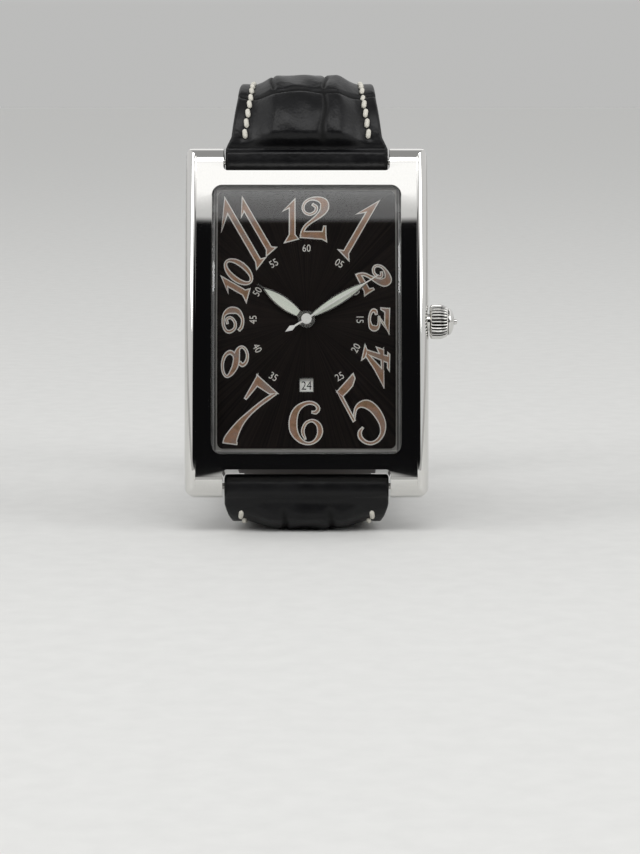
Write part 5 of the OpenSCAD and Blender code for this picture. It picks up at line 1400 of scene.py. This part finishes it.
def placed(points, u, v, turn):
    """Turns figure points to the right by turn degrees and moves them to u, v."""
    a = np.radians(turn)
    x, y = np.asarray(points, float).T[:2]
    return np.stack([u + x * np.cos(a) + y * np.sin(a), v - x * np.sin(a) + y * np.cos(a)], 1)


def numeral_shapes(grow):
    """All shapes of the dial's numerals, grown all round."""
    shapes = []
    for figure, u, v, turn, wide, high in NUMERALS:
        strokes, plates = FIGURES[figure]
        own = [shape for line in strokes for shape in stroke_shapes(np.asarray(line) * (wide, high, 1), grow)]
        own += [plate_shape(np.asarray(plate) * (wide, high), grow) for plate in plates]
        shapes.append([placed(shape, u, v, turn) for shape in own])
    return shapes


print("shapes of each numeral:", [len(shapes) for shapes in numeral_shapes(0.0)])

# %% [markdown]
# A print is a sheet on the dial. Solidify gives it its thickness: the silver stands 0.03 mm
# proud and the coloured face lies on it. Its faces already look out of the dial.

# %% Printed sheets
DIAL_W = head_height("dial")
EDGE_W, EDGE_THICK, FACE_THICK = 0.15, 0.03, 0.02


def new_print(name, flats, top, finish, body, thick):
    """One sheet from (points in u and v, faces) pairs, its face at height top over the dial."""
    points, faces, count = [], [], 0
    for flat, pieces in flats:
        points.append(flat)
        faces += [[count + i for i in piece] for piece in pieces]
        count += len(flat)
    uv = np.concatenate(points)
    mesh = bpy.data.meshes.new(name)
    mesh.from_pydata(on_head(uv[:, 0], uv[:, 1], top).tolist(), [], faces)
    mesh.materials.append(FINISHES[finish])
    sheet = mount(name, mesh, body)
    wall = sheet.modifiers.new("thickness", "SOLIDIFY")
    wall.thickness, wall.offset = thick * MM, -1
    return sheet


edges = new_print("numeral_edges", [joined(shapes) for shapes in numeral_shapes(EDGE_W)],
                  DIAL_W + EDGE_THICK, "silver_print", "watch", EDGE_THICK)
faces = new_print("numeral_faces", [joined(shapes) for shapes in numeral_shapes(0.0)],
                  DIAL_W + EDGE_THICK + FACE_THICK, "bronze_print", "watch", FACE_THICK)
print("numeral triangles:", len(edges.data.polygons), len(faces.data.polygons))

# %% [markdown]
# The small minute numbers stand on an ellipse. Blender's own font gives their plain figures; a
# text object is turned into a mesh at once, so that its place can be worked out like any other.

# %% Minute numbers
MINUTE_ACROSS, MINUTE_UP, MINUTE_HIGH, MINUTE_SQUEEZE = 7.1, 9.6, 1.0, 0.85
FONT_HIGH, INK_THICK = 0.73, 0.015
MINUTE_TURNS = [0, 30, 60, 90, -60, -30, None, 30, 60, -90, -60, -30]


def figures(words, high, squeeze):
    """Flat mesh of a number, centred, with figures high millimetres high: points and faces."""
    curve = bpy.data.curves.new("word", "FONT")
    curve.body, curve.align_x, curve.align_y = words, "CENTER", "CENTER"
    curve.size = high / FONT_HIGH
    curve.resolution_u = 4
    word = bpy.data.objects.new("word", curve)
    bpy.context.scene.collection.objects.link(word)
    bpy.context.view_layer.update()
    mesh = bpy.data.meshes.new_from_object(word.evaluated_get(bpy.context.evaluated_depsgraph_get()))
    bpy.data.objects.remove(word)
    points = mesh_points(mesh)[:, :2]
    points -= (points.min(0) + points.max(0)) / 2
    return points * (squeeze, 1), [list(face.vertices) for face in mesh.polygons]


minute_numbers = []
for hour, turn in enumerate(MINUTE_TURNS):
    if turn is None:
        continue
    a = np.radians(30 * hour)
    reach = 1 / np.hypot(np.sin(a) / MINUTE_ACROSS, np.cos(a) / MINUTE_UP)
    flat, pieces = figures(f"{5 * hour or 60:02d}", MINUTE_HIGH, MINUTE_SQUEEZE)
    minute_numbers.append((placed(flat, reach * np.sin(a), reach * np.cos(a), turn), pieces))
new_print("minute_numbers", minute_numbers, DIAL_W + 0.02, "silver_print", "watch", INK_THICK)
print("minute numbers:", len(minute_numbers))

# %% [markdown]
# The date ring carries 31 numbers, of which the window at 6 o'clock shows one. They stand
# upright there, so each is turned by its own angle round the ring.

# %% Date numbers
DATE_R, DATE_SHOWN, DATES = 8.7, 24, 31
DATE_HIGH, DATE_SQUEEZE = 1.2, 0.86

date_numbers = []
for day in range(1, DATES + 1):
    a = 180 + (day - DATE_SHOWN) * 360 / DATES
    flat, pieces = figures(str(day), DATE_HIGH, DATE_SQUEEZE)
    u, v = DATE_R * np.sin(np.radians(a)), DATE_R * np.cos(np.radians(a))
    date_numbers.append((placed(flat, u, v, a - 180), pieces))
new_print("date_numbers", date_numbers, head_height("date_ring") + 0.01, "black_print", "date",
          INK_THICK)
print("date numbers:", len(date_numbers))

# %% [markdown]
# The date window has a thin polished frame whose inner edge slopes into the hole, which is
# what catches the light. Its section is carried round a square with sharp corners.

# %% Date frame
# Section points as (out from the opening, up from the dial), and half the opening, in mm
FRAME_SECTION = [(0.0, -0.12), (0.03, 0.0), (0.05, 0.03), (0.08, 0.03), (0.1, 0.0)]
DATE_HALF = 0.875


def square_frame(name, u, v, half, section, finish, body):
    """A square frame: each section point (out, up) makes a square that much larger at that height."""
    corner = np.array([(1, -1), (1, 1), (-1, 1), (-1, -1)])
    out, up = np.array(section).T[:, :, None]
    across, along = corner[None, :, 0] * (half + out), corner[None, :, 1] * (half + out)
    points = on_head(u + across, v + along, DIAL_W + up)
    return new_piece(name, points, grid_faces(len(section), 4, round_rows=True), finish, body)


date_frame = square_frame("date_frame", 0.0, -DATE_R, DATE_HALF, FRAME_SECTION, "polished_steel",
                          "watch")
date_frame.data.polygons.foreach_set("use_smooth", [False] * len(date_frame.data.polygons))
print("date frame faces:", len(date_frame.data.polygons))
